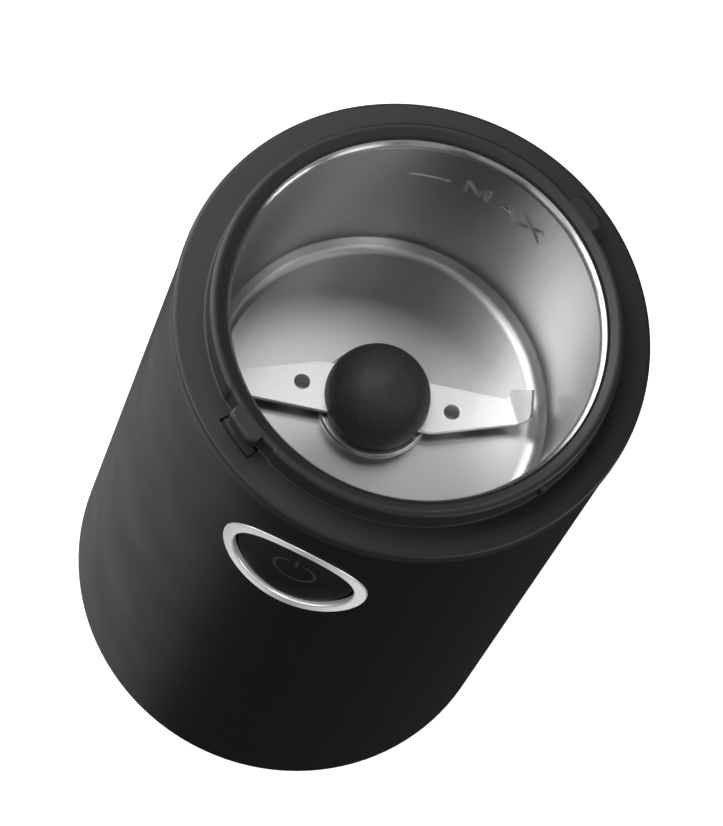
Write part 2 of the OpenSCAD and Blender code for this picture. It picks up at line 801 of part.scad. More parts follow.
// Plate with a bearing cup and four posts; up is 1 when the posts go up
module bracket(z_plate, up, post_length) {
    cup_h = bearing_h + bearing_lip;
    difference() {
        union() {
            translate([0, 0, z_plate]) linear_extrude(bracket_t)
                round_rect(stator_x, stator_y, stator_corner);
            disc(bearing_r + cup_wall, z_plate + bracket_t - cup_h, z_plate + bracket_t);
            at_corners(post_x, post_y) disc(post_r,
                up == 1 ? z_plate : z_plate - post_length,
                up == 1 ? z_plate + bracket_t + post_length : z_plate + bracket_t);
        }
        disc(bearing_r + seat_gap / 2, z_plate + bracket_t - bearing_h, z_plate + bracket_t + eps);
        disc(shaft_d / 2 + 1, z_plate - cup_h, z_plate + bracket_t);
        at_corners(post_x, post_y)
            disc(screw_r + seat_gap / 2, z_plate - post_length - eps, z_plate + post_length + 4);
        for (s = [-1, 1]) translate([s * stator_x * 0.3, 0, z_plate - eps])
            linear_extrude(bracket_t + 2 * eps) round_rect(6, stator_y * 0.36, 2.5);
    }
}

module upper_bracket() {
    color(sheet_grey) difference() {
        bracket(bracket_z - bracket_t, -1, post_h);
        at_corners(bush_pos, bush_pos)
            disc(screw_r + seat_gap / 2, bracket_z - bracket_t - eps, bracket_z + eps);
    }
}

// Lower bracket: its posts reach up to the stator and two pedestals carry the brush holders
module lower_bracket() {
    holder_z = brush_z - brush_h / 2 - holder_wall - slide_gap;
    color(sheet_grey) {
        bracket(lower_top - bracket_t, 1, lower_post_h);
        for (s = [-1, 1]) translate([s * (holder_in + holder_out) / 2 - 3.5, -3, lower_top - eps])
            cube([7, 6, holder_z - lower_top + eps]);
    }
}

module bearing(z_top) {
    color(brass) tube(bearing_r, shaft_d / 2 + run_gap, z_top - bearing_h, z_top);
}

// Stator sheets: two poles left and right, with winding slots beside them
module stator_core() {
    color(sheet_grey) difference() {
        translate([0, 0, stack_z]) linear_extrude(stack_h)
            round_rect(stator_x, stator_y, stator_corner);
        disc(bore_r, stack_z - eps, stack_top + eps);
        for (az = [0, 180], s = [-1, 1])
            sector(slot_lo, slot_hi, az + s * (coil_from + coil_to) / 2, (coil_to - coil_from) / 2,
                stack_z - eps, stack_top + eps);
        for (az = [90, 270])
            sector(bore_r - 1, slot_lo + 0.4, az, pole_mouth_half, stack_z - eps, stack_top + eps);
        at_corners(post_x, post_y) disc(screw_r + seat_gap, stack_z - eps, stack_top + eps);
    }
}

// One field coil: two sides in the slots and an arched end turn above and below
module field_coil(az) {
    lo = slot_lo + coil_gap;
    hi = slot_hi - coil_gap;
    mid = (coil_from + coil_to) / 2;
    half = (coil_to - coil_from) / 2 - coil_trim;
    color(copper) {
        for (s = [-1, 1]) sector(lo + coil_gap, hi - coil_gap, az + s * mid, half - coil_trim / 2,
            stack_z - winding_h / 2, stack_top + winding_h / 2);
        sector(lo, hi, az, mid + half, stack_top + coil_gap, stack_top + winding_h - coil_end_gap);
        sector(lo, hi, az, mid + half, stack_z - winding_h + coil_end_gap, stack_z - coil_gap);
    }
}

// Through screws that clamp the stator between the brackets
module motor_screws() {
    length = bracket_z - lower_top + bracket_t - 1;
    color(steel) at_corners(post_x, post_y) translate([0, 0, lower_top - bracket_t])
        screw(screw_head_r, screw_head_h, screw_r, length);
}

// Brass box that guides a brush, closed at its outer end
module brush_holder(side) {
    w = brush_w / 2 + slide_gap;
    h = brush_h / 2 + slide_gap;
    color(brass) mirror([side < 0 ? 1 : 0, 0, 0]) translate([0, 0, brush_z]) difference() {
        translate([holder_in, -w - holder_wall, -h - holder_wall])
            cube([holder_out - holder_in, 2 * (w + holder_wall), 2 * (h + holder_wall)]);
        translate([holder_in - eps, -w, -h])
            cube([holder_out - holder_in - holder_wall + eps, 2 * w, 2 * h]);
    }
}

module carbon_brush(side) {
    contact_r = commutator_d / 2 + brush_gap;
    color(carbon) mirror([side < 0 ? 1 : 0, 0, 0]) difference() {
        translate([commutator_d / 2 - 1, -brush_w / 2, brush_z - brush_h / 2])
            cube([brush_len + 1, brush_w, brush_h]);
        disc(contact_r, brush_z - brush_h, brush_z + brush_h);
    }
}

module brush_spring(side) {
    from = commutator_d / 2 + brush_len;
    length = holder_out - holder_wall - from;
    color(steel) mirror([side < 0 ? 1 : 0, 0, 0]) translate([from, 0, brush_z])
        rotate([0, 90, 0]) coil(1.8, 0.2, length, 3, 6, 12);
}

module motor_shaft() {
    color(bright) disc(shaft_d / 2, shaft_z, shaft_top);
}

module armature_core() {
    color(sheet_grey) difference() {
        disc(armature_d / 2, stack_z, stack_top);
        disc(shaft_d / 2, stack_z - eps, stack_top + eps);
        for (i = [0 : armature_slots - 1]) at(tooth_slot_pos, 360 * i / armature_slots, stack_z - eps) {
            cylinder(r = tooth_slot_r, h = stack_h + 2 * eps, $fn = 32);
            translate([0, -tooth_mouth / 2, 0]) cube([4, tooth_mouth, stack_h + 2 * eps]);
        }
    }
}

// Bars in the slots joined by a rounded bundle at each end
module armature_windings() {
    bundle_r = tooth_slot_pos + 1.2;
    color(copper) {
        for (i = [0 : armature_slots - 1]) at(tooth_slot_pos, 360 * i / armature_slots)
            translate([0, 0, stack_z - 1]) cylinder(r = tooth_slot_r - 0.2, h = stack_h + 2, $fn = 32);
        for (s = [0, 1]) translate([0, 0, s == 0 ? stack_z - 0.3 : stack_top + 0.3])
            mirror([0, 0, 1 - s]) rotate_extrude() polygon(concat(
                [[shaft_d / 2 + eps, 0], [bundle_r, 0]],
                arc(bundle_r - 3, winding_h - 3.8, 3, 0, 90, 6),
                [[shaft_d / 2 + eps, winding_h - 0.8]]));
    }
}

module commutator() {
    color(copper) difference() {
        union() {
            disc(commutator_d / 2, commutator_top - commutator_h, commutator_top);
            disc(commutator_d / 2 + 1, commutator_top - 1.4, commutator_top);
        }
        disc(shaft_d / 2, commutator_top - commutator_h - eps, commutator_top + eps);
        for (i = [0 : armature_slots - 1]) at(commutator_d / 2 - 0.6, 360 * (i + 0.5) / armature_slots)
            translate([0, -0.2, commutator_top - commutator_h - eps])
                cube([3, 0.4, commutator_h + 2 * eps]);
    }
}

module cooling_fan() {
    color(natural) difference() {
        union() {
            disc(fan_hub_r, fan_z, fan_z + fan_h);
            disc(fan_d / 2, fan_z, fan_z + fan_disc_t);
            for (i = [0 : fan_blades - 1]) rotate([0, 0, 360 * i / fan_blades])
                translate([fan_root, 0, fan_z + eps]) rotate([0, 0, -fan_sweep])
                    cube([fan_reach, fan_blade_t, fan_h - 2]);
        }
        disc(shaft_d / 2, fan_z - eps, fan_z + fan_h + eps);
    }
}

// ---- Blade ---------------------------------------------------------------------------------

half_w = blade_w / 2;
bend_rise = 0.25;
bend_in = blade_bend_u - 2.2;
bend_low = [blade_bend_u, bend_rise];
bend_high = [bend_in, half_w];
bend_len = norm(bend_high - bend_low);
bend_dir = atan2(bend_high[1] - bend_low[1], bend_high[0] - bend_low[0]);
bend_out = [sin(bend_dir), -cos(bend_dir)];
bend_lap = 0.2;

// Flat middle of the blade: one edge of each arm is straight and the other narrows
module blade_flat() {
    end = blade_t / 2 * tan(tip_angle / 2) + eps;
    linear_extrude(blade_t) polygon([
        [blade_taper_u, -half_w], bend_low, bend_low + end * bend_out, bend_high + end * bend_out,
        bend_high, [-blade_taper_u, half_w], -bend_low, -bend_low - end * bend_out,
        -bend_high - end * bend_out, -bend_high]);
}

// Turned-up tip, drawn flat from the bend: x runs outwards and y runs along the bend
module blade_tip() {
    root = [-bend_lap, eps];
    heel = [tip_len * 0.62, -0.4];
    toe = [tip_len, bend_len - 0.3];
    translate([0, 0, -blade_t / 2]) linear_extrude(blade_t) polygon(concat(
        [root], corner_arc(root, heel, toe, 2),
        [toe, [1.4, bend_len + 1.4], [0.3, bend_len - eps], [-bend_lap, bend_len - eps]]));
}

module blade() {
    color(steel) translate([0, 0, blade_z - blade_t]) rotate([0, 0, blade_az]) difference() {
        union() {
            blade_flat();
            for (a = [0, 180]) rotate([0, 0, a])
                translate([bend_low[0], bend_low[1], blade_t / 2])
                    rotate([0, 0, bend_dir - 90]) rotate([0, -tip_angle, 0]) blade_tip();
        }
        translate([0, 0, -eps]) cylinder(r = shaft_d / 2, h = blade_t + 2 * eps);
        for (s = [-1, 1]) translate([s * arm_hole_u, 0, -eps])
            cylinder(d = arm_hole_d, h = blade_t + 2 * eps);
    }
}

// Lower half of the hub, slotted across its top to hold the blade
module blade_carrier() {
    color(smooth_black) difference() {
        disc(carrier_r, carrier_z, blade_z);
        disc(shaft_d / 2, carrier_z - eps, blade_z + eps);
        rotate([0, 0, blade_az]) translate([-cap_d, -half_w - seat_gap / 2, blade_z - blade_t])
            cube([2 * cap_d, blade_w + seat_gap, blade_t + eps]);
    }
}

module hub_cap() {
    color(smooth_black) difference() {
        intersection() {
            translate([0, 0, blade_z]) sphere(d = cap_d);
            disc(cap_d, blade_z, blade_z + cap_d);
        }
        disc(shaft_d / 2, blade_z - eps, shaft_top + 0.2);
    }
}

// ---- One line per node ---------------------------------------------------------------------

housing_shell();
top_collar();
bowl_gasket();
steel_bowl();
shaft_seal();
button_bezel();
base_cover();
foot(0);  // foot_1
foot(1);  // foot_2
foot(2);  // foot_3
foot(3);  // foot_4
base_screws();
collar_screws();
cord_gland();
motor_deck();
deck_screws();
motor_bush(0);  // motor_bush_1
motor_bush(1);  // motor_bush_2
motor_bush(2);  // motor_bush_3
motor_bush(3);  // motor_bush_4
mount_screws();
upper_bracket();
bearing(bracket_z);  // upper_bearing
stator_core();
field_coil(180);  // field_coil_left
field_coil(0);  // field_coil_right
lower_bracket();
bearing(lower_top);  // lower_bearing
brush_holder(-1);  // brush_holder_left
brush_holder(1);  // brush_holder_right
carbon_brush(-1);  // carbon_brush_left
carbon_brush(1);  // carbon_brush_right
brush_spring(-1);  // brush_spring_left
brush_spring(1);  // brush_spring_right
motor_screws();
power_switch();
interlock_switch();
interlock_spring();
motor_shaft();
armature_core();
armature_windings();
commutator();
cooling_fan();
blade_carrier();
blade();
hub_cap();
power_button();
power_switch_plunger();
interlock_plunger();
interlock_switch_plunger();
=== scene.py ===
# %% [markdown]
# # A spice grinder in black and steel
#
# The grinder is a tall round housing with a motor in its lower half and a deep steel bowl sunk into
# its top. A collar joins the two. The CAD model already holds every part in its place, so this
# script gives the parts that show their finished surfaces, and each part its material.

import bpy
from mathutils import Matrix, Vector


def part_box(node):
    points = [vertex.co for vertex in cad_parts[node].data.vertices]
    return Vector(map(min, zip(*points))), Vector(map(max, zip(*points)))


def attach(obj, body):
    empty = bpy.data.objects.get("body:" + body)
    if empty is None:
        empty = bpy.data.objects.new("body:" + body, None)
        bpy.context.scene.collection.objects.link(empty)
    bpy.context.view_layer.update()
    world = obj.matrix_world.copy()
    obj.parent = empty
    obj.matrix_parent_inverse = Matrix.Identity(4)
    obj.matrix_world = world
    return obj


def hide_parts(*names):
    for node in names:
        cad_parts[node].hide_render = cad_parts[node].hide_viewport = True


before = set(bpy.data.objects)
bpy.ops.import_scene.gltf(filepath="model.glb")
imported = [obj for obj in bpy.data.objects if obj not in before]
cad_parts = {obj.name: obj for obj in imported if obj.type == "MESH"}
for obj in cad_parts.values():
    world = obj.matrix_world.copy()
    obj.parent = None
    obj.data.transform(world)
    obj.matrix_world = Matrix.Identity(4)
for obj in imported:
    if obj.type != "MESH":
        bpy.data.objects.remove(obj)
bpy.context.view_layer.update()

# %% [markdown]
# ## Sizes
#
# Blender works in metres, while the parts are thought of in millimetres, so one factor turns one
# into the other. The heights come from the CAD parts: what is made here then always meets them.

# %% Heights, in millimetres
import math
import bmesh
import bpy
import numpy as np

MM = 0.001
NECK_H, BOWL_DEPTH = 5.5, 47.1


def low_high(node):
    """Lowest and highest corner of a CAD part, in millimetres."""
    return [np.array(corner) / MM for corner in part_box(node)]


BASE = low_high("housing_shell")[0][2]
PARTING = low_high("housing_shell")[1][2]
NECK_TOP = low_high("top_collar")[1][2]
RIM = low_high("steel_bowl")[1][2]
LEDGE = NECK_TOP - NECK_H
FLOOR = RIM - BOWL_DEPTH
print(f"base {BASE:.1f}, parting {PARTING:.1f}, ledge {LEDGE:.1f}, neck {NECK_TOP:.1f}, floor {FLOOR:.1f}")

# %% [markdown]
# ## The camera
#
# A long lens from far away keeps the round forms calm. The camera stands in front of the grinder
# and looks down at 68 degrees into the bowl, and it is rolled so that the housing leans across
# the picture. Three angles and a distance place it, which is easier to adjust than a matrix.

# %% Place the camera
VIEW_AIM, VIEW_DISTANCE = (-1.25, 0.02, 101.13), 964.83
VIEW_AZIMUTH, VIEW_ELEVATION, VIEW_ROLL = -91.0, 67.844, -27.44
SENSOR_WIDTH, FOCAL_LENGTH = 36, 241.95


def sphere_direction(azimuth, elevation):
    """Unit vector at an azimuth and an elevation: (cos e cos a, cos e sin a, sin e)."""
    a, e = np.radians([azimuth, elevation])
    return np.array([np.cos(e) * np.cos(a), np.cos(e) * np.sin(a), np.sin(e)])


def turned_frame(backward, roll):
    """Right and up directions of a view along -backward, rolled about the line of sight."""
    right = np.cross([0, 0, 1], backward)
    right /= np.linalg.norm(right)
    up = np.cross(backward, right)
    up = up * np.cos(roll) + right * np.sin(roll)
    return np.cross(up, backward), up


def aimed(thing, aim, azimuth, elevation, distance, roll=0.0):
    """Puts a camera or a lamp at aim + distance * direction, facing aim."""
    backward = sphere_direction(azimuth, elevation)
    right, up = turned_frame(backward, math.radians(roll))
    matrix = np.identity(4)
    matrix[:3, 0], matrix[:3, 1], matrix[:3, 2] = right, up, backward
    matrix[:3, 3] = (np.array(aim) + distance * backward) * MM
    thing.matrix_world = matrix.T.tolist()
    bpy.context.scene.collection.objects.link(thing)
    return thing


lens = bpy.data.cameras.new("camera")
lens.sensor_fit, lens.sensor_width, lens.lens = "HORIZONTAL", SENSOR_WIDTH, FOCAL_LENGTH
camera = aimed(bpy.data.objects.new("camera", lens), VIEW_AIM, VIEW_AZIMUTH, VIEW_ELEVATION,
               VIEW_DISTANCE, VIEW_ROLL)
bpy.context.scene.camera = camera
print("camera at", [round(v, 3) for v in camera.location])

# %% [markdown]
# ## Floor and light
#
# Black plastic shows its form only through what it mirrors, and a steel bowl reflects all of its
# surroundings. So the grinder stands among soft panels, each aimed at it from its own azimuth
# and elevation. The strongest ones stand low at both sides and light the wall, those higher up
# light the bowl and the blade, and a weak even world fills the rest. The floor is plain and
# pale, and only the camera sees it: it casts no shadow, so a panel below it still lights the
# wall. It lies a hair below the feet, because two faces at one height flicker.

# %% Floor, in metres
FLOOR_HALF, FLOOR_DROP = 3, 2e-5
floor_mesh = bpy.data.meshes.new("floor")
floor_mesh.from_pydata([(x * FLOOR_HALF, y * FLOOR_HALF, -FLOOR_DROP) for x, y in
                        ((-1, -1), (1, -1), (1, 1), (-1, 1))], [], [(0, 1, 2, 3)])
floor = bpy.data.objects.new("floor", floor_mesh)
bpy.context.scene.collection.objects.link(floor)
floor.visible_diffuse, floor.visible_glossy, floor.visible_shadow = False, False, False
print("the floor is", 2 * FLOOR_HALF, "m wide")

# %% Helpers for node materials


def new_material(name):
    """An empty node material with its Principled shader, as (material, tree, shader)."""
    material = bpy.data.materials.new(name)
    material.use_nodes = True
    tree = material.node_tree
    return material, tree, tree.nodes["Principled BSDF"]


def add(tree, kind, inputs=(), **settings):
    """Adds a node, sets its properties, and fills or links its inputs."""
    node = tree.nodes.new("ShaderNode" + kind)
    for key, value in settings.items():
        setattr(node, key, value)
    for key, value in dict(inputs).items():
        if isinstance(value, bpy.types.NodeSocket):
            tree.links.new(value, node.inputs[key])
        else:
            node.inputs[key].default_value = value
    return node


def grey(value):
    """A neutral colour, opaque."""
    return (value, value, value, 1.0)


# %% Floor material
material, _, shader = new_material("pale_floor")
for socket, value in {"Base Color": grey(0.5), "Roughness": 0.9, "Specular IOR Level": 0.1,
                      "Emission Color": grey(1.0), "Emission Strength": 1.0}.items():
    shader.inputs[socket].default_value = value
floor_mesh.materials.append(material)
print("floor material:", material.name)

# %% Soft panels
PANEL_AIM = (0, 0, 110)


def panel(azimuth, elevation, distance, side, power):
    """A square lamp that faces the grinder from a direction; sizes in millimetres, power in watts."""
    name = f"panel_{azimuth}_{elevation}_{distance}"
    lamp = bpy.data.lights.new(name, "AREA")
    lamp.shape, lamp.size, lamp.energy = "SQUARE", side * MM, power
    return aimed(bpy.data.objects.new(name, lamp), PANEL_AIM, azimuth, elevation, distance)


# Each kind of panel is its distance and its side. A panel is azimuth, elevation, kind and power.
FAR, BROAD, NEAR = (900, 300), (900, 600), (305, 110)
panels = [
    (0, 5, FAR, 1.97), (330, 5, FAR, 1.16), (210, 25, FAR, 0.981), (150, 5, FAR, 1.1),
    (330, 25, FAR, 0.38), (240, 25, FAR, 0.317), (185, 12, NEAR, 0.306), (240, 5, FAR, 0.281),
    (210, 66, FAR, 0.272), (180, 66, FAR, 0.241), (182, -62, BROAD, 0.5), (165, 12, NEAR, 0.227),
    (150, 45, NEAR, 0.21), (300, 5, FAR, 0.192), (0, 66, FAR, 0.179), (270, 45, FAR, 0.153),
    (300, 45, FAR, 0.147), (170, 66, NEAR, 0.144), (240, 45, FAR, 0.132), (0, 45, FAR, 0.13),
    (330, 45, FAR, 0.111), (240, 66, FAR, 0.101), (270, 25, FAR, 0.0873), (300, 25, FAR, 0.085),
    (210, 45, NEAR, 0.0829), (110, 60, NEAR, 0.0821), (270, 5, FAR, 0.0785), (170, 45, NEAR, 0.0559),
    (330, 66, FAR, 0.0547), (300, 66, FAR, 0.0453), (190, 45, NEAR, 0.0402), (0, 25, FAR, 0.0298)]
for azimuth, elevation, (distance, side), power in panels:
    panel(azimuth, elevation, distance, side, power)
print(len(panels), "panels give", round(sum(power for *_, power in panels), 1), "W")

# %% World
WORLD_STRENGTH = 0.0466
world = bpy.data.worlds.new("studio")
world.use_nodes = True
world.node_tree.nodes["Background"].inputs["Color"].default_value = grey(1.0)
world.node_tree.nodes["Background"].inputs["Strength"].default_value = WORLD_STRENGTH
bpy.context.scene.world = world
bpy.context.scene.view_settings.view_transform = "Standard"
print("world:", world.name)

# %% [markdown]
# ## Surfaces from numpy grids
#
# Almost every form here is a surface of two parameters: a profile turned round the axis, or a
# sheet. So the points are worked out as whole arrays, one row of the grid for each step of one
# parameter, and one function turns such grids into a mesh. Grids that share an edge are merged
# there, and the normals are then turned outwards, because the merged shape is closed.

# %% From grids to a mesh
MERGE_DIST, SLIVER_DIST = 2e-6, 1e-7


def cells(rows, columns, wrap_rows, wrap_columns):
    """Corner numbers of each cell of a grid, [row, column, 4]; a wrapped side joins its start."""
    index = np.arange(rows * columns).reshape(rows, columns)
    if wrap_rows:
        index = np.vstack([index, index[:1]])
    if wrap_columns:
        index = np.hstack([index, index[:, :1]])
    return np.stack([index[:-1, :-1], index[:-1, 1:], index[1:, 1:], index[1:, :-1]], axis=-1)


def clean(mesh, sharp):
    """Merges doubles, points the normals outwards and shades smooth up to an angle."""
    bm = bmesh.new()
    bm.from_mesh(mesh)
    bmesh.ops.remove_doubles(bm, verts=bm.verts, dist=MERGE_DIST)
    bmesh.ops.dissolve_degenerate(bm, edges=bm.edges, dist=SLIVER_DIST)
    bmesh.ops.recalc_face_normals(bm, faces=bm.faces)
    open_edges = sum(len(e.link_faces) != 2 for e in bm.edges)
    bm.to_mesh(mesh)
    bm.free()
    mesh.polygons.foreach_set("use_smooth", np.ones(len(mesh.polygons), bool))
    mesh.set_sharp_from_angle(angle=math.radians(sharp))
    print(f"{mesh.name}: {len(mesh.polygons)} faces, {open_edges} open edges")


def mesh_of(name, sheets, sharp=35):
    """One mesh from several grids of points in millimetres: each is (grid, wrap rows, wrap
    columns, mask of the cells to keep or None)."""
    points, quads, count = [], [], 0
    for grid, wrap_rows, wrap_columns, keep in sheets:
        faces = cells(*grid.shape[:2], wrap_rows, wrap_columns)
        faces = faces.reshape(-1, 4) if keep is None else faces[keep]
        points.append(grid.reshape(-1, 3))
        quads.append(faces + count)
        count += grid.shape[0] * grid.shape[1]
    points, quads = np.vstack(points) * MM, np.vstack(quads)
    mesh = bpy.data.meshes.new(name)
    mesh.vertices.add(len(points))
    mesh.vertices.foreach_set("co", points.ravel())
    mesh.loops.add(quads.size)
    mesh.loops.foreach_set("vertex_index", quads.ravel().astype(np.int32))
    mesh.polygons.add(len(quads))
    mesh.polygons.foreach_set("loop_start", np.arange(0, quads.size, 4, dtype=np.int32))
    mesh.update(calc_edges=True)
    clean(mesh, sharp)
    return mesh


def piece(name, mesh, body, material, slot, *nodes):
    """An object of the grinder: it rides on a body and stands for the CAD parts named last."""
    thing = bpy.data.objects.new(name, mesh)
    bpy.context.scene.collection.objects.link(thing)
    mesh.materials.append(material)
    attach(thing, body)
    if nodes:
        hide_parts(*nodes)
    return thing


# %% [markdown]
# ## Rounded outlines
#
# No moulded or pressed edge is perfectly sharp: each carries a small arc that catches a line of
# light. A corner is swapped for an arc that touches both of its sides, with one more point
# on each side close to the arc, so that smooth shading stays flat on the flat stretches.

# %% Round the corners of an outline
HOLD, CRISP = 0.15, 0.0001


def unit(v):
    """Vectors divided by their lengths."""
    return v / np.linalg.norm(v, axis=-1, keepdims=True)


def rounded(corners, radii, steps=5):
    """Closed outlines [..., corner, (r, z)] with their corners rounded. With half the inner angle
    h, an arc starts radius / tan h from its corner, and its centre lies radius / sin h along
    the bisector. From a to b, a share k of the turn t leads to the direction
    (sin((1 - k) t) a + sin(k t) b) / sin t. On a straight run the bisector is any normal, and
    the arc shrinks to a point. The radius CRISP leaves a corner sharp to the eye."""
    corners = np.array(corners, float)
    radii = np.broadcast_to(np.array(radii, float), corners.shape[:-1])[..., None]
    back, ahead = (np.roll(corners, s, -2) - corners for s in (1, -1))
    u, w = unit(back), unit(ahead)
    straight = np.linalg.norm(u + w, axis=-1, keepdims=True) < 1e-6
    bisector = unit(np.where(straight, u[..., ::-1] * (1, -1), u + w))
    half = np.arccos(np.clip((u * w).sum(-1, keepdims=True), -1, 1)) / 2
    reach = radii / np.tan(half)
    centre = corners + bisector * radii / np.sin(half)
    a, b = (unit(corners + side * reach - centre) for side in (u, w))
    turn = np.maximum(np.pi - 2 * half, 1e-6)[..., None, :]
    k = np.linspace(0, 1, steps)[:, None]
    swing = np.sin((1 - k) * turn) * a[..., None, :] + np.sin(k * turn) * b[..., None, :]
    arcs = centre[..., None, :] + radii[..., None, :] * swing / np.sin(turn)
    spare = np.linalg.norm(back, axis=-1, keepdims=True) - reach - np.roll(reach, 1, -2)
    first = corners + u * (reach + np.clip(0.3 * spare, 0, HOLD))
    last = corners + w * (reach + np.clip(0.3 * np.roll(spare, -1, -2), 0, HOLD))
    path = np.concatenate([first[..., None, :], arcs, last[..., None, :]], axis=-2)
    return path.reshape(*path.shape[:-3], -1, 2)


def turned(path, angles):
    """Grid of a profile (r, z) turned round the axis: (r cos a, r sin a, z)."""
    r, z = path[:, 0, None], path[:, 1, None]
    a = np.radians(angles)[None, :]
    return np.stack([r * np.cos(a), r * np.sin(a), z + 0 * a], axis=-1)


def full_turn(columns):
    """Azimuths of a whole turn, without the last one, which is the first again."""
    return np.linspace(0, 360, columns, endpoint=False)


# %% [markdown]
# ## Materials
#
# Each finish is a small recipe. Soft-touch paint is a very dark coat with a fine grain in its
# bump, so that its highlights spread. Steel turned on a lathe carries fine circular scratches:
# its highlights stretch across them, which an anisotropic shader shows when it is told the
# direction of the scratches. All patterns read object coordinates, so they keep their true size.

# %% Black plastics


def black_plastic(name, shade, rough, grain_mm, depth, specular, speckle=0.0):
    """Dark plastic: noise at the size of its grain gives the bump and varies the tone by the share
    speckle, and a coarser noise varies the roughness a little."""
    material, tree, shader = new_material(name)
    place = add(tree, "TexCoord").outputs["Object"]
    grain = add(tree, "TexNoise", {"Vector": place, "Scale": 1 / (grain_mm * MM), "Detail": 2.0,
                                   "Roughness": 0.6})
    cloud = add(tree, "TexNoise", {"Vector": place, "Scale": 60.0, "Detail": 3.0})
    bump = add(tree, "Bump", {"Height": grain.outputs["Fac"], "Strength": depth,
                              "Distance": grain_mm * MM * 0.5})
    tone = add(tree, "MapRange", {"Value": grain.outputs["Fac"], "From Min": 0.35, "From Max": 0.75,
                                  "To Min": shade * (1 - speckle), "To Max": shade * (1 + speckle)})
    colour = add(tree, "CombineColor", {"Red": tone.outputs[0], "Green": tone.outputs[0],
                                        "Blue": tone.outputs[0]})
    gloss = add(tree, "MapRange", {"Value": cloud.outputs["Fac"], "From Min": 0.3, "From Max": 0.7,
                                   "To Min": rough - 0.03, "To Max": rough + 0.03})
    tree.links.new(colour.outputs[0], shader.inputs["Base Color"])
    tree.links.new(gloss.outputs[0], shader.inputs["Roughness"])
    tree.links.new(bump.outputs[0], shader.inputs["Normal"])
    shader.inputs["Specular IOR Level"].default_value = specular
    return material


SOFT_BLACK = black_plastic("soft_touch_black", 0.004, 0.42, 0.28, 0.2, specular=0.45, speckle=0.5)
SATIN_BLACK = black_plastic("satin_black", 0.026, 0.42, 0.2, 0.12, specular=0.35, speckle=0.2)
DOME_BLACK = black_plastic("dome_black", 0.045, 0.55, 0.3, 0.3, specular=0.4, speckle=0.4)
BUTTON_BLACK = black_plastic("button_black", 0.006, 0.45, 0.2, 0.1, specular=0.3, speckle=0.3)
RUBBER = black_plastic("matt_rubber", 0.015, 0.75, 0.35, 0.3, specular=0.2, speckle=0.3)
print("black finishes:", [m.name for m in (SOFT_BLACK, SATIN_BLACK, DOME_BLACK, BUTTON_BLACK, RUBBER)])

# %% Metals
WANDER = 0.001


def metal(name, shade, rough, lines_mm, spread=0.0, depth=0.05, tint=(1, 1, 1), turned_work=True,
          vary=0.1, metallic=1.0):
    """Metal with scratches: noise squeezed to thin rings round the axis, which wander a trace, or
    left even. The share vary is how much they change the tone. The tangent is the cross product
    of the axis and the position, so it runs round the axis."""
    material, tree, shader = new_material(name)
    place = add(tree, "TexCoord").outputs["Object"]
    flat = add(tree, "VectorMath", {0: place, 1: (1, 1, 0)}, operation="MULTIPLY").outputs[0]
    radius = add(tree, "VectorMath", {0: flat}, operation="LENGTH").outputs["Value"]
    height = add(tree, "SeparateXYZ", {0: place}).outputs["Z"]
    rings = add(tree, "CombineXYZ", {"X": radius, "Y": height}).outputs[0]
    soft = add(tree, "VectorMath", {0: flat, 1: (WANDER, WANDER, 0)}, operation="MULTIPLY").outputs[0]
    drawn = add(tree, "VectorMath", {0: rings, 1: soft}, operation="ADD").outputs[0]
    source = drawn if turned_work else place
    lines = add(tree, "TexNoise", {"Vector": source, "Scale": 1 / (lines_mm * MM), "Detail": 3.0,
                                   "Roughness": 0.7})
    bump = add(tree, "Bump", {"Height": lines.outputs["Fac"], "Strength": depth,
                              "Distance": lines_mm * MM})
    tone = add(tree, "MapRange", {"Value": lines.outputs["Fac"], "From Min": 0.3, "From Max": 0.7,
                                  "To Min": shade * (1 - vary), "To Max": shade * (1 + vary)})
    colour = add(tree, "VectorMath", {0: tone.outputs[0], 1: tint}, operation="MULTIPLY")
    gloss = add(tree, "MapRange", {"Value": lines.outputs["Fac"], "From Min": 0.3, "From Max": 0.7,
                                   "To Min": rough * (1 - 1.5 * vary), "To Max": rough * (1 + 1.5 * vary)})
    tree.links.new(colour.outputs[0], shader.inputs["Base Color"])
    tree.links.new(gloss.outputs[0], shader.inputs["Roughness"])
    tree.links.new(bump.outputs[0], shader.inputs["Normal"])
    shader.inputs["Metallic"].default_value = metallic
    if spread:
        around = add(tree, "VectorMath", {0: (0, 0, 1), 1: flat}, operation="CROSS_PRODUCT")
        along = add(tree, "VectorMath", {0: around.outputs[0]}, operation="NORMALIZE")
        tree.links.new(along.outputs[0], shader.inputs["Tangent"])
        shader.inputs["Anisotropic"].default_value = spread
        shader.inputs["Anisotropic Rotation"].default_value = 0.25
    return material


BOWL_STEEL = metal("turned_steel", 0.52, 0.27, lines_mm=0.3, spread=0.75, depth=0.0002, vary=0.004)
BLADE_STEEL = metal("blasted_steel", 1.0, 0.4, lines_mm=0.2, depth=0.1, turned_work=False)
SATIN_SILVER = metal("satin_silver", 0.95, 0.3, lines_mm=0.1, depth=0.003, turned_work=False, vary=0.02,
                     metallic=0.55)
PLATED = metal("zinc_plate", 0.55, 0.35, lines_mm=0.2, depth=0.1, turned_work=False)
SHAFT = metal("ground_shaft", 0.66, 0.22, lines_mm=0.1, spread=0.6)
COPPER_BAR = metal("turned_copper", 0.85, 0.3, lines_mm=0.1, spread=0.5, tint=(0.95, 0.58, 0.40))
BRASS = metal("plain_brass", 0.8, 0.32, lines_mm=0.2, tint=(0.95, 0.76, 0.42), turned_work=False)
print("metals:", [m.name for m in (BOWL_STEEL, BLADE_STEEL, SATIN_SILVER, PLATED, SHAFT, COPPER_BAR, BRASS)])

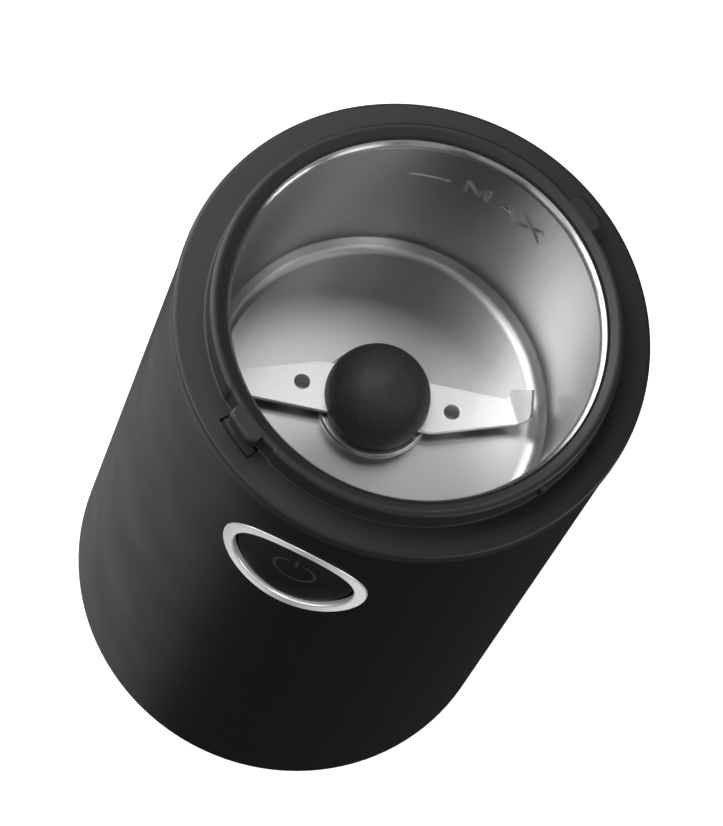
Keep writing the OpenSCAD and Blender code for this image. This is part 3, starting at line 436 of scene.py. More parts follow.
# %% [markdown]
# ## The bowl
#
# The bowl is drawn from one steel sheet: a flat floor with a raised boss round the shaft, a
# curve that ends in a short slope, a wall that widens a little upwards, and a rim rolled
# outwards. One profile holds both faces of the sheet: the outer corners are the inner ones
# moved out by the sheet's thickness. The fill mark could be cut with a Boolean, but it is pressed
# into the back wall, so here it is part of the surface: wherever a point of the wall lies close
# to a stroke of the letters, it moves towards the axis.

# %% Profile of the bowl
SHEET, BORE_R, RIM_OUT = 0.6, 8.05, 38.4
BOWL_R, HEEL_R, HEEL_RISE = 35.5, 34.5, 2.3
BOSS_TOP, BOSS_R, BOSS_FOOT_R = FLOOR + 1, 11.25, 11.45


def outset(before, corner, after, gap):
    """The corner of a path, moved so that both its sides lie a gap further to the right: the
    sum of the two unit normals, divided by 1 plus their dot product, times the gap."""
    before, corner, after = (np.array(p, float) for p in (before, corner, after))
    sides = [(q - p) / np.linalg.norm(q - p) for p, q in ((before, corner), (corner, after))]
    n, m = (np.array([side[1], -side[0]]) for side in sides)
    return tuple(corner + gap * (n + m) / (1 + n @ m))


edge, toe = (BOSS_FOOT_R, FLOOR), (HEEL_R - HEEL_RISE, FLOOR)
heel, rim = (HEEL_R, FLOOR + HEEL_RISE), (BOWL_R, RIM)
bowl_corners = [
    (BORE_R, BOSS_TOP), (BOSS_R, BOSS_TOP), edge, toe, heel, rim, (RIM_OUT, RIM), (RIM_OUT, RIM - SHEET),
    (BOWL_R + SHEET, RIM - SHEET), outset(toe, heel, rim, SHEET), outset(edge, toe, heel, SHEET),
    (11.0, FLOOR - SHEET), (10.8, BOSS_TOP - SHEET), (BORE_R, BOSS_TOP - SHEET)]
bowl_radii = [0.1, 0.3, 0.1, 3.5, 0.5, 1.9, 0.1, 0.1, 1.3, 1.1, 4.1, 0.3, 0.3, 0.1]
bowl_path = rounded(bowl_corners, bowl_radii, steps=12)
print("the bowl's profile has", len(bowl_path), "points")

# %% More rows and columns where the mark is pressed
MARK_LOW, MARK_HIGH, ROW_STEP = 139.8, 146.6, 0.16
MARK_FROM, MARK_TO, COLUMN_STEP = 63, 115.5, 0.28
wall = np.flatnonzero((bowl_path[:-1, 1] < FLOOR + 8) & (bowl_path[1:, 1] > FLOOR + 30))[0]
mark_rows = np.concatenate([np.linspace(FLOOR + 8, MARK_LOW - 0.4, 8),
                            np.arange(MARK_LOW, MARK_HIGH, ROW_STEP),
                            np.linspace(MARK_HIGH + 0.9, RIM - 3, 4)])
mark_r = HEEL_R + (BOWL_R - HEEL_R) * (mark_rows - FLOOR - HEEL_RISE) / (RIM - FLOOR - HEEL_RISE)
bowl_path = np.insert(bowl_path, wall + 1, np.stack([mark_r, mark_rows], 1), axis=0)
bowl_angles = np.concatenate([np.arange(MARK_FROM, MARK_TO, COLUMN_STEP),
                              np.linspace(MARK_TO + 1.5, MARK_FROM + 358, 150)])
print("with the rows of the mark it has", len(bowl_path))

# %% Strokes of the fill mark
LETTER_LOW, LETTER_HIGH = 141.1, 145.3


def stroke_distance(u, v, strokes):
    """Distance from points (u, v) to the nearest stroke: each stroke is a segment, and the
    nearest point on it is its start plus the clamped projection along it."""
    start, end = strokes[:, :2], strokes[:, 2:]
    along = end - start
    gap = np.stack([u, v], -1)[..., None, :] - start
    t = np.clip((gap * along).sum(-1) / (along ** 2).sum(-1), 0, 1)
    return np.linalg.norm(gap - t[..., None] * along, axis=-1).min(-1)


def letter(strokes, left, right):
    """Strokes drawn in a unit square, spread between two azimuths and the letters' height."""
    s = np.array(strokes, float)
    along = (left + (right - left) * s[:, [0, 2]]) * np.pi / 180 * BOWL_R
    up = LETTER_LOW + (LETTER_HIGH - LETTER_LOW) * s[:, [1, 3]]
    return np.stack([along[:, 0], up[:, 0], along[:, 1], up[:, 1]], 1)


level_mark = np.vstack([
    letter([(0, 0.36, 1, 0.36)], 113.2, 100.7),
    letter([(0, 0, 0, 1), (0, 1, 0.55, 0.1), (0.55, 0.1, 1, 1), (1, 1, 1, 0)], 94.5, 87.0),
    letter([(0, 0, 0.5, 1), (0.5, 1, 1, 0), (0.2, 0.32, 0.8, 0.32)], 83.4, 76.4),
    letter([(0, 0, 1, 1), (0, 1, 1, 0)], 73.8, 66.3)])
print("the fill mark has", len(level_mark), "strokes")

# %% Turn the bowl and press the mark
PRESS_DEPTH, STROKE_HALF, STROKE_SIDE = 0.33, 0.45, 0.25
bowl_grid = turned(bowl_path, bowl_angles)
u = np.radians(bowl_angles)[None, :] * BOWL_R
v = bowl_path[:, 1, None]
near = stroke_distance(u + 0 * v, v + 0 * u, level_mark)
# The sides of a stroke follow the smooth step s^2 (3 - 2 s).
slope = np.clip((STROKE_HALF - near) / STROKE_SIDE, 0, 1)
press = PRESS_DEPTH * slope ** 2 * (3 - 2 * slope)
rows = np.arange(len(bowl_path))[:, None]
press = np.where((rows > wall) & (rows <= wall + len(mark_rows)), press, 0)
bowl_grid[..., :2] *= (1 - press / BOWL_R)[..., None]
piece("grinding_bowl", mesh_of("grinding_bowl", [(bowl_grid, True, True, None)], sharp=50),
      "housing", BOWL_STEEL, "bowl_steel", "steel_bowl")

# %% [markdown]
# ## The collar
#
# The collar carries the lid: a flat ledge, a neck with a lug on two sides, and a slot in the ledge
# beside the front lug. Booleans could cut all of these, but they leave ragged faces. Each is also
# a change of one cross-section as it goes round, so the cross-section is worked out for every
# azimuth at once: each corner has a radius and a height that may depend on the azimuth, and
# pairs of very close columns make the upright side walls. A curve at the neck's foot leads into
# the ledge, and the neck is a little thinner on both sides of each lug.

# %% Sizes of the collar and its columns
NECK_R, COLLAR_R, SLOT_OUT, LUG_MID_R = 39.75, 46.0, 42.45, 41.1
LOCK, STOP = 240.4, 331.0
LUG_W, LUG_REACH, LUG_H, LUG_ROUND = 7.7, 2.2, 3.0, 1.6
SLOT_HALF, RELIEF_HALF, RELIEF, RAMP = 4.45, 7.3, 0.3, 0.3
PAIR, HAIR = 0.004, 0.001


def along_neck(angles, centre):
    """Signed distance along the neck from the nearer of two opposite features, in mm."""
    turn = (angles - centre + 90) % 180 - 90
    return turn * np.pi / 180 * LUG_MID_R


def rounded_end(y, half, radius):
    """How far a rounded corner draws back from its side wall at a distance y from the middle:
    0 along the side, and radius - sqrt(radius^2 - d^2) within the corner."""
    d = np.clip(np.abs(y) - (half - radius), 0, radius)
    return radius - np.sqrt(radius ** 2 - d ** 2)


walls = np.concatenate([[e - PAIR, e + PAIR] for e in (LUG_W / 2, SLOT_HALF)])
bends = np.concatenate([LUG_W / 2 - LUG_ROUND * (1 - np.sin(np.radians([0, 15, 30, 45, 60, 75, 84]))),
                        RELIEF_HALF + np.linspace(-RAMP, RAMP, 6)])
special = np.concatenate([walls, bends])
special = np.concatenate([special, -special]) / LUG_MID_R * 180 / np.pi + LOCK
collar_angles = np.unique(np.round(np.concatenate(
    [full_turn(180), special % 360, (special + 180) % 360]), 5))
print(len(collar_angles), "columns round the collar")

# %% What changes round the collar
y = along_neck(collar_angles, LOCK)
front = np.abs((collar_angles - LOCK + 180) % 360 - 180) < 90
in_lug, in_slot = np.abs(y) < LUG_W / 2, (np.abs(y) < SLOT_HALF) & front
neck = NECK_R - RELIEF * np.clip((RELIEF_HALF + RAMP - np.abs(y)) / (2 * RAMP), 0, 1)
# Where a feature is absent, its corners lie a hair apart, so that no face folds over.
lug = np.where(in_lug, NECK_R + LUG_REACH - rounded_end(y, LUG_W / 2, LUG_ROUND), neck + 2 * HAIR)
slot_in = np.where(in_slot, NECK_R - 0.15, NECK_R + 1.2)
slot_floor = np.where(in_slot, PARTING, LEDGE - 3 * HAIR)
print(in_lug.sum(), "columns in the lugs,", in_slot.sum(), "in the slot")

# %% Corners of the section, row by row
LIP, LIP_R, LIP_IN, NECK_IN = RIM + 0.1, 36.5, 38.5, 38.4
SPIGOT_OUT, SPIGOT_IN, SPIGOT_Z = 43.5, 42.6, PARTING - 5
section = [
    (LIP_R, LIP, 0.05), (LIP_R, LIP + 0.2, 0.08), (NECK_IN, NECK_TOP, 1.5), (lug, NECK_TOP, 0.8),
    (lug, NECK_TOP - LUG_H, 0.2), (neck, NECK_TOP - LUG_H - HAIR, CRISP), (neck, LEDGE, 0.2),
    (slot_in, LEDGE - HAIR, CRISP), (slot_in, slot_floor, CRISP), (SLOT_OUT, slot_floor, CRISP),
    (SLOT_OUT, LEDGE, CRISP), (COLLAR_R, LEDGE, 0.7), (COLLAR_R, PARTING, 0.15),
    (SPIGOT_OUT, PARTING, 0.05), (SPIGOT_OUT, SPIGOT_Z, 0.2), (SPIGOT_IN, SPIGOT_Z, 0.1),
    (SPIGOT_IN, PARTING, 0.02), (SLOT_OUT, PARTING, CRISP), (slot_in, PARTING, CRISP),
    (LIP_IN, PARTING, 0.1), (LIP_IN, LIP, 0.02)]
LUG_FOOT, NECK_FOOT, SLOT_FLOOR, SLOT_MOUTH = 4, 6, 8, 17
ones = np.ones(len(collar_angles))
corners = np.stack([np.stack([r * ones, z * ones], -1) for r, z, _ in section], axis=1)
radii = np.stack([np.full(len(ones), radius) for _, _, radius in section], axis=1)
radii[:, LUG_FOOT] = np.where(in_lug, 0.2, CRISP)
radii[:, NECK_FOOT] = np.where(in_slot, 0.1, 0.35)
print(len(section), "corners in the collar's section")

# %% Turn the section and open the slot
ARC_STEPS = 5
paths = rounded(corners, radii, steps=ARC_STEPS)
angle = np.radians(collar_angles)[:, None]
collar_grid = np.stack([paths[..., 0] * np.cos(angle), paths[..., 0] * np.sin(angle),
                        paths[..., 1]], -1).transpose(1, 0, 2)
keep = np.ones((len(collar_grid), len(collar_angles)), bool)
open_cells = in_slot & np.roll(in_slot, -1)
for corner in (SLOT_FLOOR, SLOT_MOUTH):
    last = corner * (ARC_STEPS + 2) + ARC_STEPS
    keep[last:last + 3, open_cells] = False
piece("top_collar_moulding",
      mesh_of("top_collar_moulding", [(collar_grid, True, True, keep)], sharp=40),
      "housing", SATIN_BLACK, "smooth_black", "top_collar")

# %% [markdown]
# The lid meets a small round stop on the neck when it is turned home. The stop is a short post
# with rounded ends, so it is a small profile turned round its own axis and moved to the neck.

# %% Lid stop
STOP_R, STOP_EDGE = 1.0, 0.25
STOP_LOW, STOP_HIGH = NECK_TOP - 3.4, NECK_TOP - 0.8
stop_path = rounded([(0, STOP_LOW), (STOP_R, STOP_LOW), (STOP_R, STOP_HIGH), (0, STOP_HIGH)],
                    [CRISP, STOP_EDGE, STOP_EDGE, CRISP])[1:-1]
a = math.radians(STOP)
stop = turned(stop_path, full_turn(24)) + np.array([NECK_R * math.cos(a), NECK_R * math.sin(a), 0])
piece("lid_stop", mesh_of("lid_stop", [(stop, False, True, None)]), "housing", SATIN_BLACK, "smooth_black")

# %% [markdown]
# ## The housing shell
#
# The shell is a plain tube, but for the round seat of the button's ring. A tube is a simple
# grid, and a round hole doesn't fit a grid. So a square window is left out of the grid, and
# a patch fills it: its outer edge is the window, its inner edge is the hole, and the rows
# between the two change evenly from one to the other. The patch lies flat at first and is then
# bent onto the tube.

# %% Patch between a loop and a round hole
EASE = 1.6


def hole_patch(loop, centre, radius, rows):
    """Grid [row, column, 2] from a circle to the closed loop round it: each point of the loop is
    paired with the point of the circle in its direction, and t grows as a power, so that the
    rows are closer by the hole."""
    out = loop - centre
    direction = unit(out)
    t = np.linspace(0, 1, rows)[:, None, None] ** EASE
    return centre + (1 - t) * radius * direction + t * out


def window_loop(xs, zs):
    """Points round a rectangular window of a grid, once round, without a repeated corner."""
    low = np.stack([xs, np.full(len(xs), zs[0])], 1)
    right = np.stack([np.full(len(zs), xs[-1]), zs], 1)
    high = np.stack([xs[::-1], np.full(len(xs), zs[-1])], 1)
    left = np.stack([np.full(len(zs), xs[0]), zs[::-1]], 1)
    return np.concatenate([low[:-1], right[:-1], high[:-1], left[:-1]])


def onto_tube(flat, radius):
    """Points (x, z) seen from the front, on a tube: (x, -sqrt(R^2 - x^2), z)."""
    x, z = flat[..., 0], flat[..., 1]
    return np.stack([x, -np.sqrt(np.maximum(radius ** 2 - x ** 2, 0)), z + 0 * x], -1)


# %% Shell wall with its seat
SHELL_R, SHELL_IN = 45.8, 43.6
FOOT_OUT, FOOT_IN, HEAD_EDGE = 1.2, 0.3, 0.25
BUTTON_DROP = 27.4
BUTTON_Z = LEDGE - BUTTON_DROP
SEAT_R, SEAT_DEPTH, HOLE_R = 15.35, 1.2, 12.85
WINDOW_HALF, WINDOW_CELLS = 19, 24
window_x = np.linspace(-WINDOW_HALF, WINDOW_HALF, WINDOW_CELLS + 1)
window_z = BUTTON_Z + window_x


def windowed_wall(radius, hole, foot):
    """Tube wall as a grid without its window, and the patch that fills the window. It starts
    above the rounded foot."""
    front = np.degrees(np.arctan2(-np.sqrt(radius ** 2 - window_x ** 2), window_x))
    rest = np.linspace(front[-1], front[0] + 360, 100)[1:-1]
    low = BASE + foot
    heights = np.concatenate([[low, low + 0.2], np.linspace(BASE + 4, window_z[0], 20), window_z[1:],
                              [PARTING - 2, PARTING - 0.4, PARTING - HEAD_EDGE]])
    grid = turned(np.stack([np.full(len(heights), radius), heights], 1),
                  np.concatenate([front, rest]))
    keep = np.ones((len(heights) - 1, grid.shape[1]), bool)
    first = np.searchsorted(heights, window_z[0] - 1e-9)
    keep[first:first + WINDOW_CELLS, :WINDOW_CELLS] = False
    loop = window_loop(window_x, window_z)
    patch = onto_tube(hole_patch(loop, np.array([0, BUTTON_Z]), hole, 9), radius)
    return [(grid, False, True, keep), (patch, False, True, None)], grid, loop


outer, outer_grid, loop = windowed_wall(SHELL_R, SEAT_R, FOOT_OUT)
inner, inner_grid, _ = windowed_wall(SHELL_IN, HOLE_R, FOOT_IN)
direction = unit(loop - np.array([0, BUTTON_Z]))
seat = np.stack([onto_tube([0, BUTTON_Z] + r * direction, depth) for r, depth in
                 [(SEAT_R, SHELL_R), (SEAT_R, SHELL_R - SEAT_DEPTH), (HOLE_R, SHELL_R - SEAT_DEPTH),
                  (HOLE_R, SHELL_IN)]])
print("the button's seat is", 2 * SEAT_R, "mm wide")

# %% Rounded foot and head of the shell
WALL = SHELL_R - SHELL_IN


def strip_between(a, b, profile):
    """Grid from one ring of points to another, by way of (share, height) steps: the place in
    plan goes from ring a to ring b with share, and the height is given."""
    share, z = (np.array(p)[:, None] for p in zip(*profile))
    plan = a[None, :, :2] * (1 - share)[..., None] + b[None, :, :2] * share[..., None]
    return np.concatenate([plan, (z + 0 * plan[..., 0])[..., None]], -1)


def corner_steps(low, radius_out, radius_in, turn_up):
    """Shares and heights of a rounded edge at each side of a flat rim across the wall."""
    k = np.linspace(0, np.pi / 2, 7)
    out = [(radius_out * (1 - np.cos(a)) / WALL, low + turn_up * radius_out * (1 - np.sin(a))) for a in k]
    back = [(1 - radius_in * (1 - np.cos(a)) / WALL, low + turn_up * radius_in * (1 - np.sin(a)))
            for a in k[::-1]]
    return out + back


foot_rim = strip_between(outer_grid[0], inner_grid[0], corner_steps(BASE, FOOT_OUT, FOOT_IN, 1))
head_rim = strip_between(outer_grid[-1], inner_grid[-1], corner_steps(PARTING, HEAD_EDGE, HEAD_EDGE, -1))
shell_sheets = outer + inner + [(grid, False, True, None) for grid in (seat, foot_rim, head_rim)]
piece("housing_shell_moulding", mesh_of("housing_shell_moulding", shell_sheets, sharp=40),
      "housing", SOFT_BLACK, "soft_black", "housing_shell")

# %% [markdown]
# ## The blade
#
# The blade is punched from steel strip, and its tips are then bent up. So it is made the way it is
# made in the workshop: a flat outline with its holes, then a fold that turns all that lies
# beyond the bend line, with a small bend radius that catches the light. The strip is a sheet
# without thickness up to here. Solidify gives it its gauge, and Bevel grinds its edges.

# %% The bend line
BLADE_TOP, BLADE_T, BLADE_AZ = FLOOR + 3.75, 1.2, 16.0
HALF_W, TAPER_U = 5.05, 11.8
BEND_LOW, BEND_HIGH = np.array([28.1, 0.25]), np.array([25.9, 5.05])
BEND_RADIUS, TIP_ANGLE = 2.4, math.radians(40)
along_bend = unit(BEND_HIGH - BEND_LOW)
beyond = np.array([along_bend[1], -along_bend[0]])
BEND_LEN = float(np.linalg.norm(BEND_HIGH - BEND_LOW))


def in_strip(d, s):
    """Points a distance d beyond the bend line and s along it, in the flat strip."""
    return BEND_LOW + np.asarray(d)[..., None] * beyond + np.asarray(s)[..., None] * along_bend


def evenly(path, count):
    """Points spread evenly by length along a path."""
    length = np.r_[0, np.cumsum(np.linalg.norm(np.diff(path, axis=0), axis=1))]
    at = np.linspace(0, length[-1], count)
    return np.stack([np.interp(at, length, path[:, k]) for k in (0, 1)], 1)


print(f"the bend line is {BEND_LEN:.1f} mm long")

# %% Arm up to the bend: its trailing and leading edge
near_bend = np.array([-1.1, -0.84, -0.6, -0.4, -0.2, 0.0])
taper = unit(BEND_LOW - np.array([TAPER_U, -HALF_W]))
flat_u = np.concatenate([[8, 9.5, 11], np.linspace(12.3, 17.9, 7), [19.5, 21.5, 23.5]])
trail_flat = np.stack([flat_u, np.where(flat_u < TAPER_U, -HALF_W, np.interp(
    flat_u, [TAPER_U, BEND_LOW[0]], [-HALF_W, BEND_LOW[1]]))], 1)
lead_flat = np.stack([flat_u, np.full(len(flat_u), HALF_W)], 1)
trail_bend = BEND_LOW + near_bend[:, None] / (taper @ beyond) * taper
lead_bend = BEND_HIGH + near_bend[:, None] / beyond[0] * np.array([1, 0])
print(len(flat_u) + len(near_bend), "stations up to the bend")

# %% Tip beyond the bend, and the arm's grid
TIP_END, TIP_STEPS = (5.8, BEND_LEN - 0.1), 9
tip = rounded([(0, 0), (3.6, -0.4), TIP_END, (1.5, BEND_LEN + 1.6), (0, BEND_LEN)],
              [0.1, 2.0, 0.1, 0.3, 0.1], steps=TIP_STEPS).reshape(5, TIP_STEPS + 2, 2)
heel, crest = tip[1, :-1], tip[3, -2::-1]
first = np.array([0.2, 0.4, 0.6, 0.84, 1.05])
trail_tip = np.vstack([in_strip(first, -0.1 * first),
                       in_strip(*evenly(np.vstack([[1.2, -0.12], heel]), 9).T)])
lead_tip = np.vstack([in_strip(first, BEND_LEN + first),
                      in_strip(*evenly(np.vstack([[1.25, BEND_LEN + 1.25], crest, TIP_END]), 9).T)])
trail = np.vstack([trail_flat, trail_bend, trail_tip])
lead = np.vstack([lead_flat, lead_bend, lead_tip])
ACROSS = 12
share = np.linspace(0, 1, ACROSS + 1)[None, :, None]
arm = trail[:, None] * (1 - share) + lead[:, None] * share
print("an arm has", arm.shape[0], "stations")

# %% Fold the tips
DRILL_U, DRILL_R, SHAFT_HOLE_R, HUB_HALF = 15.1, 1.6, 3.0, 8
DRILL_CELLS = (3, 9)


def grid_loop(grid, low, high):
    """Points once round the square block of a grid's cells from low to high."""
    return np.concatenate([grid[low, low:high], grid[low:high, high],
                           grid[high, high:low:-1], grid[high:low:-1, low]])


def folded(flat):
    """Flat points (x, y) as a sheet folded at the bend line. Within the bend, the turn grows as
    distance / radius; the point is then (R sin turn, R (1 - cos turn)) from the bend's start,
    and further out it goes on straight at the full angle."""
    d = (flat - BEND_LOW) @ beyond
    start = -BEND_RADIUS * TIP_ANGLE / 2
    turn = np.clip((d - start) / BEND_RADIUS, 0, TIP_ANGLE)
    rest = d - start - turn * BEND_RADIUS
    level = start + BEND_RADIUS * np.sin(turn) + rest * np.cos(turn)
    rise = BEND_RADIUS * (1 - np.cos(turn)) + np.maximum(rest, 0) * np.sin(turn)
    moved = flat + (np.where(turn > 0, level - d, 0))[..., None] * beyond
    return np.concatenate([moved, rise[..., None]], -1)


def placed(points, azimuth):
    """Points turned about the axis and lifted to the middle of the strip's thickness."""
    a = math.radians(azimuth)
    turned_xy = points[..., :2] @ np.array([[math.cos(a), math.sin(a)], [-math.sin(a), math.cos(a)]])
    return np.concatenate([turned_xy, points[..., 2:] + BLADE_TOP - BLADE_T / 2], -1)


keep = np.ones((len(arm) - 1, ACROSS), bool)
keep[slice(*DRILL_CELLS), slice(*DRILL_CELLS)] = False
hole = hole_patch(grid_loop(arm, *DRILL_CELLS), np.array([DRILL_U, 0]), DRILL_R, 5)
hub = hole_patch(window_loop(np.linspace(-HUB_HALF, HUB_HALF, ACROSS + 1),
                             np.linspace(-HALF_W, HALF_W, ACROSS + 1)),
                 np.array([0.0, 0.0]), SHAFT_HOLE_R, 4)
sheets = [(placed(folded(hub), BLADE_AZ), False, True, None)]
for azimuth in (BLADE_AZ, BLADE_AZ + 180):
    sheets += [(placed(folded(arm), azimuth), False, False, keep),
               (placed(folded(hole), azimuth), False, True, None)]
blade = piece("grinding_blade", mesh_of("grinding_blade", sheets, sharp=60), "rotor", BLADE_STEEL,
              "blade_steel", "blade")

# %% Gauge and ground edges
gauge = blade.modifiers.new("thickness", "SOLIDIFY")
gauge.thickness, gauge.offset, gauge.use_even_offset = BLADE_T * MM, 0, True
ground = blade.modifiers.new("ground_edge", "BEVEL")
ground.width, ground.segments, ground.limit_method = 0.2 * MM, 2, "ANGLE"
ground.angle_limit, ground.harden_normals = math.radians(50), True
print("modifiers of the blade:", [m.name for m in blade.modifiers])

# %% [markdown]
# ## The hub cap
#
# A moulded dome hides the nut and keeps the ground coffee from packing round the shaft. It is half
# a ball, so its profile is a quarter of a circle, closed underneath.

# %% Turn the dome
CAP_R, CAP_EDGE = 10.5, 0.25
k = np.linspace(0, np.pi / 2, 40)
dome = np.stack([CAP_R * np.cos(k), BLADE_TOP + CAP_EDGE + (CAP_R - CAP_EDGE) * np.sin(k)], 1)
under = [[0.0, BLADE_TOP + 0.02], [CAP_R - 0.4, BLADE_TOP + 0.02], [CAP_R - 0.1, BLADE_TOP + 0.06],
         [CAP_R, BLADE_TOP + 0.15]]
dome_grid = turned(np.vstack([under, dome]), full_turn(128))
piece("hub_dome", mesh_of("hub_dome", [(dome_grid, False, True, None)], sharp=60),
      "rotor", DOME_BLACK, "smooth_black", "hub_cap")

# %% [markdown]
# ## The button and its ring
#
# The ring and the button belong to the round wall: seen from the front they are true circles, and
# seen from above they follow the tube. So every point is worked out flat, as (x, z) from the
# front, with a radius that tells how far from the axis it lies. The button's face is hollowed
# in height, like a shallow groove for a fingertip.

# %% The ring
RING_IN, RING_OUT = 12.65, 15.15
RING_BACK, RING_FACE = SHELL_R - SEAT_DEPTH, COLLAR_R - 0.05
ring_section = rounded([(RING_IN, RING_BACK), (RING_OUT, RING_BACK), (RING_OUT, RING_FACE),
                        (RING_IN, RING_FACE)], [0.05, 0.05, 0.15, 0.35], steps=7)
theta = np.radians(full_turn(160))
once = np.ones(len(theta))


def round_front(rho, radius):
    """Grid on the front: (x, z) = (rho cos t, rho sin t) about the button, bent to the radius."""
    flat = rho[..., None] * np.stack([np.cos(theta), np.sin(theta)], -1) + [0, BUTTON_Z]
    return onto_tube(flat, radius)


ring_grid = round_front(ring_section[:, 0, None] * once, ring_section[:, 1, None] * once)
ring = piece("button_ring", mesh_of("button_ring", [(ring_grid, True, True, None)], sharp=60),
             "housing", SATIN_SILVER, "bezel_chrome", "button_bezel")

# %% [markdown]
# The ring is the only bright metal on the dark wall. A studio gives such a trim white cards, and
# keeps their light off the wall. Light linking does the same here: each card shines on the
# collection that holds the ring alone. Three of them stand lower than the grinder, and one above.

# %% Cards for the ring
BELOW, ABOVE = (500, 110), (500, 160)
ring_only = bpy.data.collections.new("ring_only")
ring_only.objects.link(ring)
cards = [
    (270, 80, ABOVE, 1.2), (252, -68, BELOW, 0.052), (311, -68, BELOW, 0.035), (296, -68, BELOW, 0.0301)]
for azimuth, elevation, (distance, side), power in cards:
    panel(azimuth, elevation, distance, side, power).light_linking.receiver_collection = ring_only

# %% The button
BUTTON_R, SINK, DISH, EDGE = 12.25, 0.6, 0.6, 0.7
DISH_R = (BUTTON_R ** 2 + DISH ** 2) / (2 * DISH)
FLANGE_R, FLANGE_FRONT, FLANGE_BACK = BUTTON_R + 1.65, 43.3, 40.6
CENTRE = 0.001


def face_radius(z):
    """Distance of the hollow face from the axis at a height: a shallow arc across the height."""
    return COLLAR_R - SINK + DISH_R - DISH - np.sqrt(DISH_R ** 2 - (z - BUTTON_Z) ** 2)


k = np.linspace(0, np.pi / 2, 7)
flat_rho = np.concatenate([[CENTRE], np.linspace(0.5, 11.3, 30), [11.7]])
button_rho = np.concatenate([flat_rho, BUTTON_R - EDGE + EDGE * np.sin(k), [BUTTON_R]])[:, None] * once
drop = np.concatenate([0 * flat_rho, EDGE * (1 - np.cos(k)), [2 * EDGE]])[:, None]
face = round_front(button_rho, face_radius(BUTTON_Z + button_rho * np.sin(theta)) - drop)
flange = round_front(np.array([BUTTON_R, FLANGE_R, FLANGE_R, CENTRE])[:, None] * once,
                     np.array([FLANGE_FRONT, FLANGE_FRONT, FLANGE_BACK, FLANGE_BACK])[:, None] * once)
button_grid = np.concatenate([face, flange])
piece("push_button", mesh_of("push_button", [(button_grid, False, True, None)], sharp=50),
      "power_button", BUTTON_BLACK, "button_black", "power_button")

# %% [markdown]
# The sign on the button is the usual one for power: an open ring with a bar in its gap. It is a
# thin raised print, so each stroke is a flat ribbon along a line, with a thickness of a hair.

# %% The sign
SIGN_X, SIGN_Z, SIGN_R = 0.35, BUTTON_Z + 0.7, 4.3
SIGN_GAP, BAR_LOW, BAR_HIGH = 25, 2.2, 5.6
STROKE_W, STROKE_LIFT, STROKE_T = 0.6, 0.04, 0.2


def ribbon(line):
    """Grid of a flat ribbon on the button: the line's points (x, z) move half the width to either
    side along the line's normal, and the surface is lifted off the face. One more column at each
    end, with all its points on their mean, closes the ribbon."""
    tangent = unit(np.gradient(line, axis=0))
    normal = np.stack([-tangent[:, 1], tangent[:, 0]], 1)
    grid = []
    for side, up in [(-1, 0), (-1, STROKE_T), (1, STROKE_T), (1, 0)]:
        flat = line + side * STROKE_W / 2 * normal
        grid.append(onto_tube(flat, face_radius(flat[:, 1]) + STROKE_LIFT + up - STROKE_T))
    grid = np.stack(grid)
    ends = [np.repeat(grid[:, [side]].mean(0, keepdims=True), len(grid), axis=0) for side in (0, -1)]
    return np.concatenate([ends[0], grid, ends[1]], axis=1)


t = np.radians(np.linspace(90 + SIGN_GAP, 450 - SIGN_GAP, 60))
ring_line = np.stack([SIGN_X + SIGN_R * np.cos(t), SIGN_Z + SIGN_R * np.sin(t)], 1)
bar_line = np.stack([np.full(6, SIGN_X), SIGN_Z + np.linspace(BAR_LOW, BAR_HIGH, 6)], 1)
sign = mesh_of("power_sign", [(ribbon(line), True, False, None) for line in (ring_line, bar_line)])
SIGN_GREY = black_plastic("sign_grey", 0.06, 0.45, 0.2, 0.05, specular=0.4)
piece("power_sign", sign, "power_button", SIGN_GREY, "button_black")

# %% [markdown]
# ## The parts inside
#
# Nobody sees the motor in the finished grinder, but each part still gets its own material: sheet
# steel that shows the edges of its sheets, varnished copper wire in close turns, pressed carbon
# and plain mouldings.

# %% Banded and plain finishes
WAVE_PER_PITCH = 0.314


def banded(name, shade, rough, pitch_mm, tint, metallic):
    """Fine bands across the height: a wave of the given pitch drives the tone and the bump. At
    scale 1 the wave repeats every pi / 10 metres."""
    material, tree, shader = new_material(name)
    place = add(tree, "TexCoord").outputs["Object"]
    wave = add(tree, "TexWave", {"Vector": place, "Scale": WAVE_PER_PITCH / (pitch_mm * MM),
                                 "Distortion": 0.6, "Detail": 1.0}, bands_direction="Z")
    tone = add(tree, "MapRange", {"Value": wave.outputs["Fac"], "To Min": shade * 0.75, "To Max": shade})
    colour = add(tree, "VectorMath", {0: tone.outputs[0], 1: tint}, operation="MULTIPLY")
    bump = add(tree, "Bump", {"Height": wave.outputs["Fac"], "Strength": 0.4,
                              "Distance": pitch_mm * MM * 0.3})
    tree.links.new(colour.outputs[0], shader.inputs["Base Color"])
    tree.links.new(bump.outputs[0], shader.inputs["Normal"])
    shader.inputs["Roughness"].default_value = rough
    shader.inputs["Metallic"].default_value = metallic
    return material


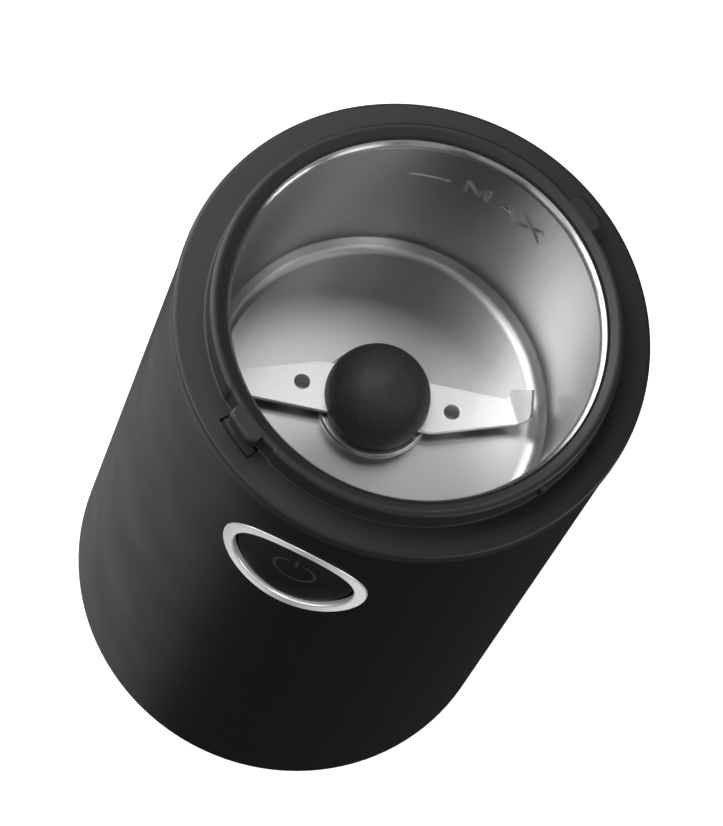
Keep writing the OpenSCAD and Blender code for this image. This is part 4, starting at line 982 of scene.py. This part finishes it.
def moulded(name, colour, rough, grain_mm=0.4):
    """Plain moulded plastic: an even colour with a slight mottle and a fine bump."""
    material, tree, shader = new_material(name)
    place = add(tree, "TexCoord").outputs["Object"]
    grain = add(tree, "TexNoise", {"Vector": place, "Scale": 1 / (grain_mm * MM), "Detail": 2.0})
    tone = add(tree, "MapRange", {"Value": grain.outputs["Fac"], "To Min": 0.92, "To Max": 1.05})
    mix = add(tree, "VectorMath", {0: tone.outputs[0], 1: colour}, operation="MULTIPLY")
    bump = add(tree, "Bump", {"Height": grain.outputs["Fac"], "Strength": 0.1, "Distance": 0.0001})
    tree.links.new(mix.outputs[0], shader.inputs["Base Color"])
    tree.links.new(bump.outputs[0], shader.inputs["Normal"])
    shader.inputs["Roughness"].default_value = rough
    return material


SHEETS = banded("stacked_sheets", 0.36, 0.45, 0.5, (1, 1.02, 1.06), 1.0)
WIRE = banded("varnished_wire", 0.8, 0.3, 0.6, (0.95, 0.45, 0.2), 1.0)
CARBON = moulded("pressed_carbon", (0.03, 0.03, 0.032), 0.6, 0.15)
NATURAL = moulded("natural_nylon", (0.72, 0.70, 0.64), 0.45)
SWITCH = moulded("switch_case", (0.03, 0.03, 0.033), 0.4)
RED = moulded("red_actuator", (0.55, 0.03, 0.025), 0.3)
print(len(bpy.data.materials), "materials in all")

# %% Give every remaining part its finish
finishes = {
    SATIN_BLACK: ["base_cover", "top_collar", "blade_carrier"],
    RUBBER: ["bowl_gasket", "shaft_seal", "cord_gland", "foot_1", "foot_2", "foot_3", "foot_4",
             "motor_bush_1", "motor_bush_2", "motor_bush_3", "motor_bush_4"],
    PLATED: ["base_screws", "collar_screws", "deck_screws", "mount_screws", "motor_screws",
             "brush_spring_left", "brush_spring_right", "interlock_spring"],
    SHEETS: ["upper_bracket", "lower_bracket", "stator_core", "armature_core"],
    WIRE: ["field_coil_left", "field_coil_right", "armature_windings"],
    BRASS: ["upper_bearing", "lower_bearing", "brush_holder_left", "brush_holder_right"],
    COPPER_BAR: ["commutator"], SHAFT: ["motor_shaft"],
    CARBON: ["carbon_brush_left", "carbon_brush_right"],
    NATURAL: ["motor_deck", "cooling_fan"],
    SWITCH: ["power_switch", "interlock_switch"],
    RED: ["power_switch_plunger", "interlock_switch_plunger"],
    SOFT_BLACK: ["housing_shell"], BOWL_STEEL: ["steel_bowl"], BLADE_STEEL: ["blade"],
    SATIN_SILVER: ["button_bezel"], BUTTON_BLACK: ["power_button"],
    DOME_BLACK: ["hub_cap", "interlock_plunger"]}
for material, names in finishes.items():
    for name in names:
        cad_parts[name].material_slots[0].material = material
print(sum(len(names) for names in finishes.values()), "of", len(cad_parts), "parts have a finish")
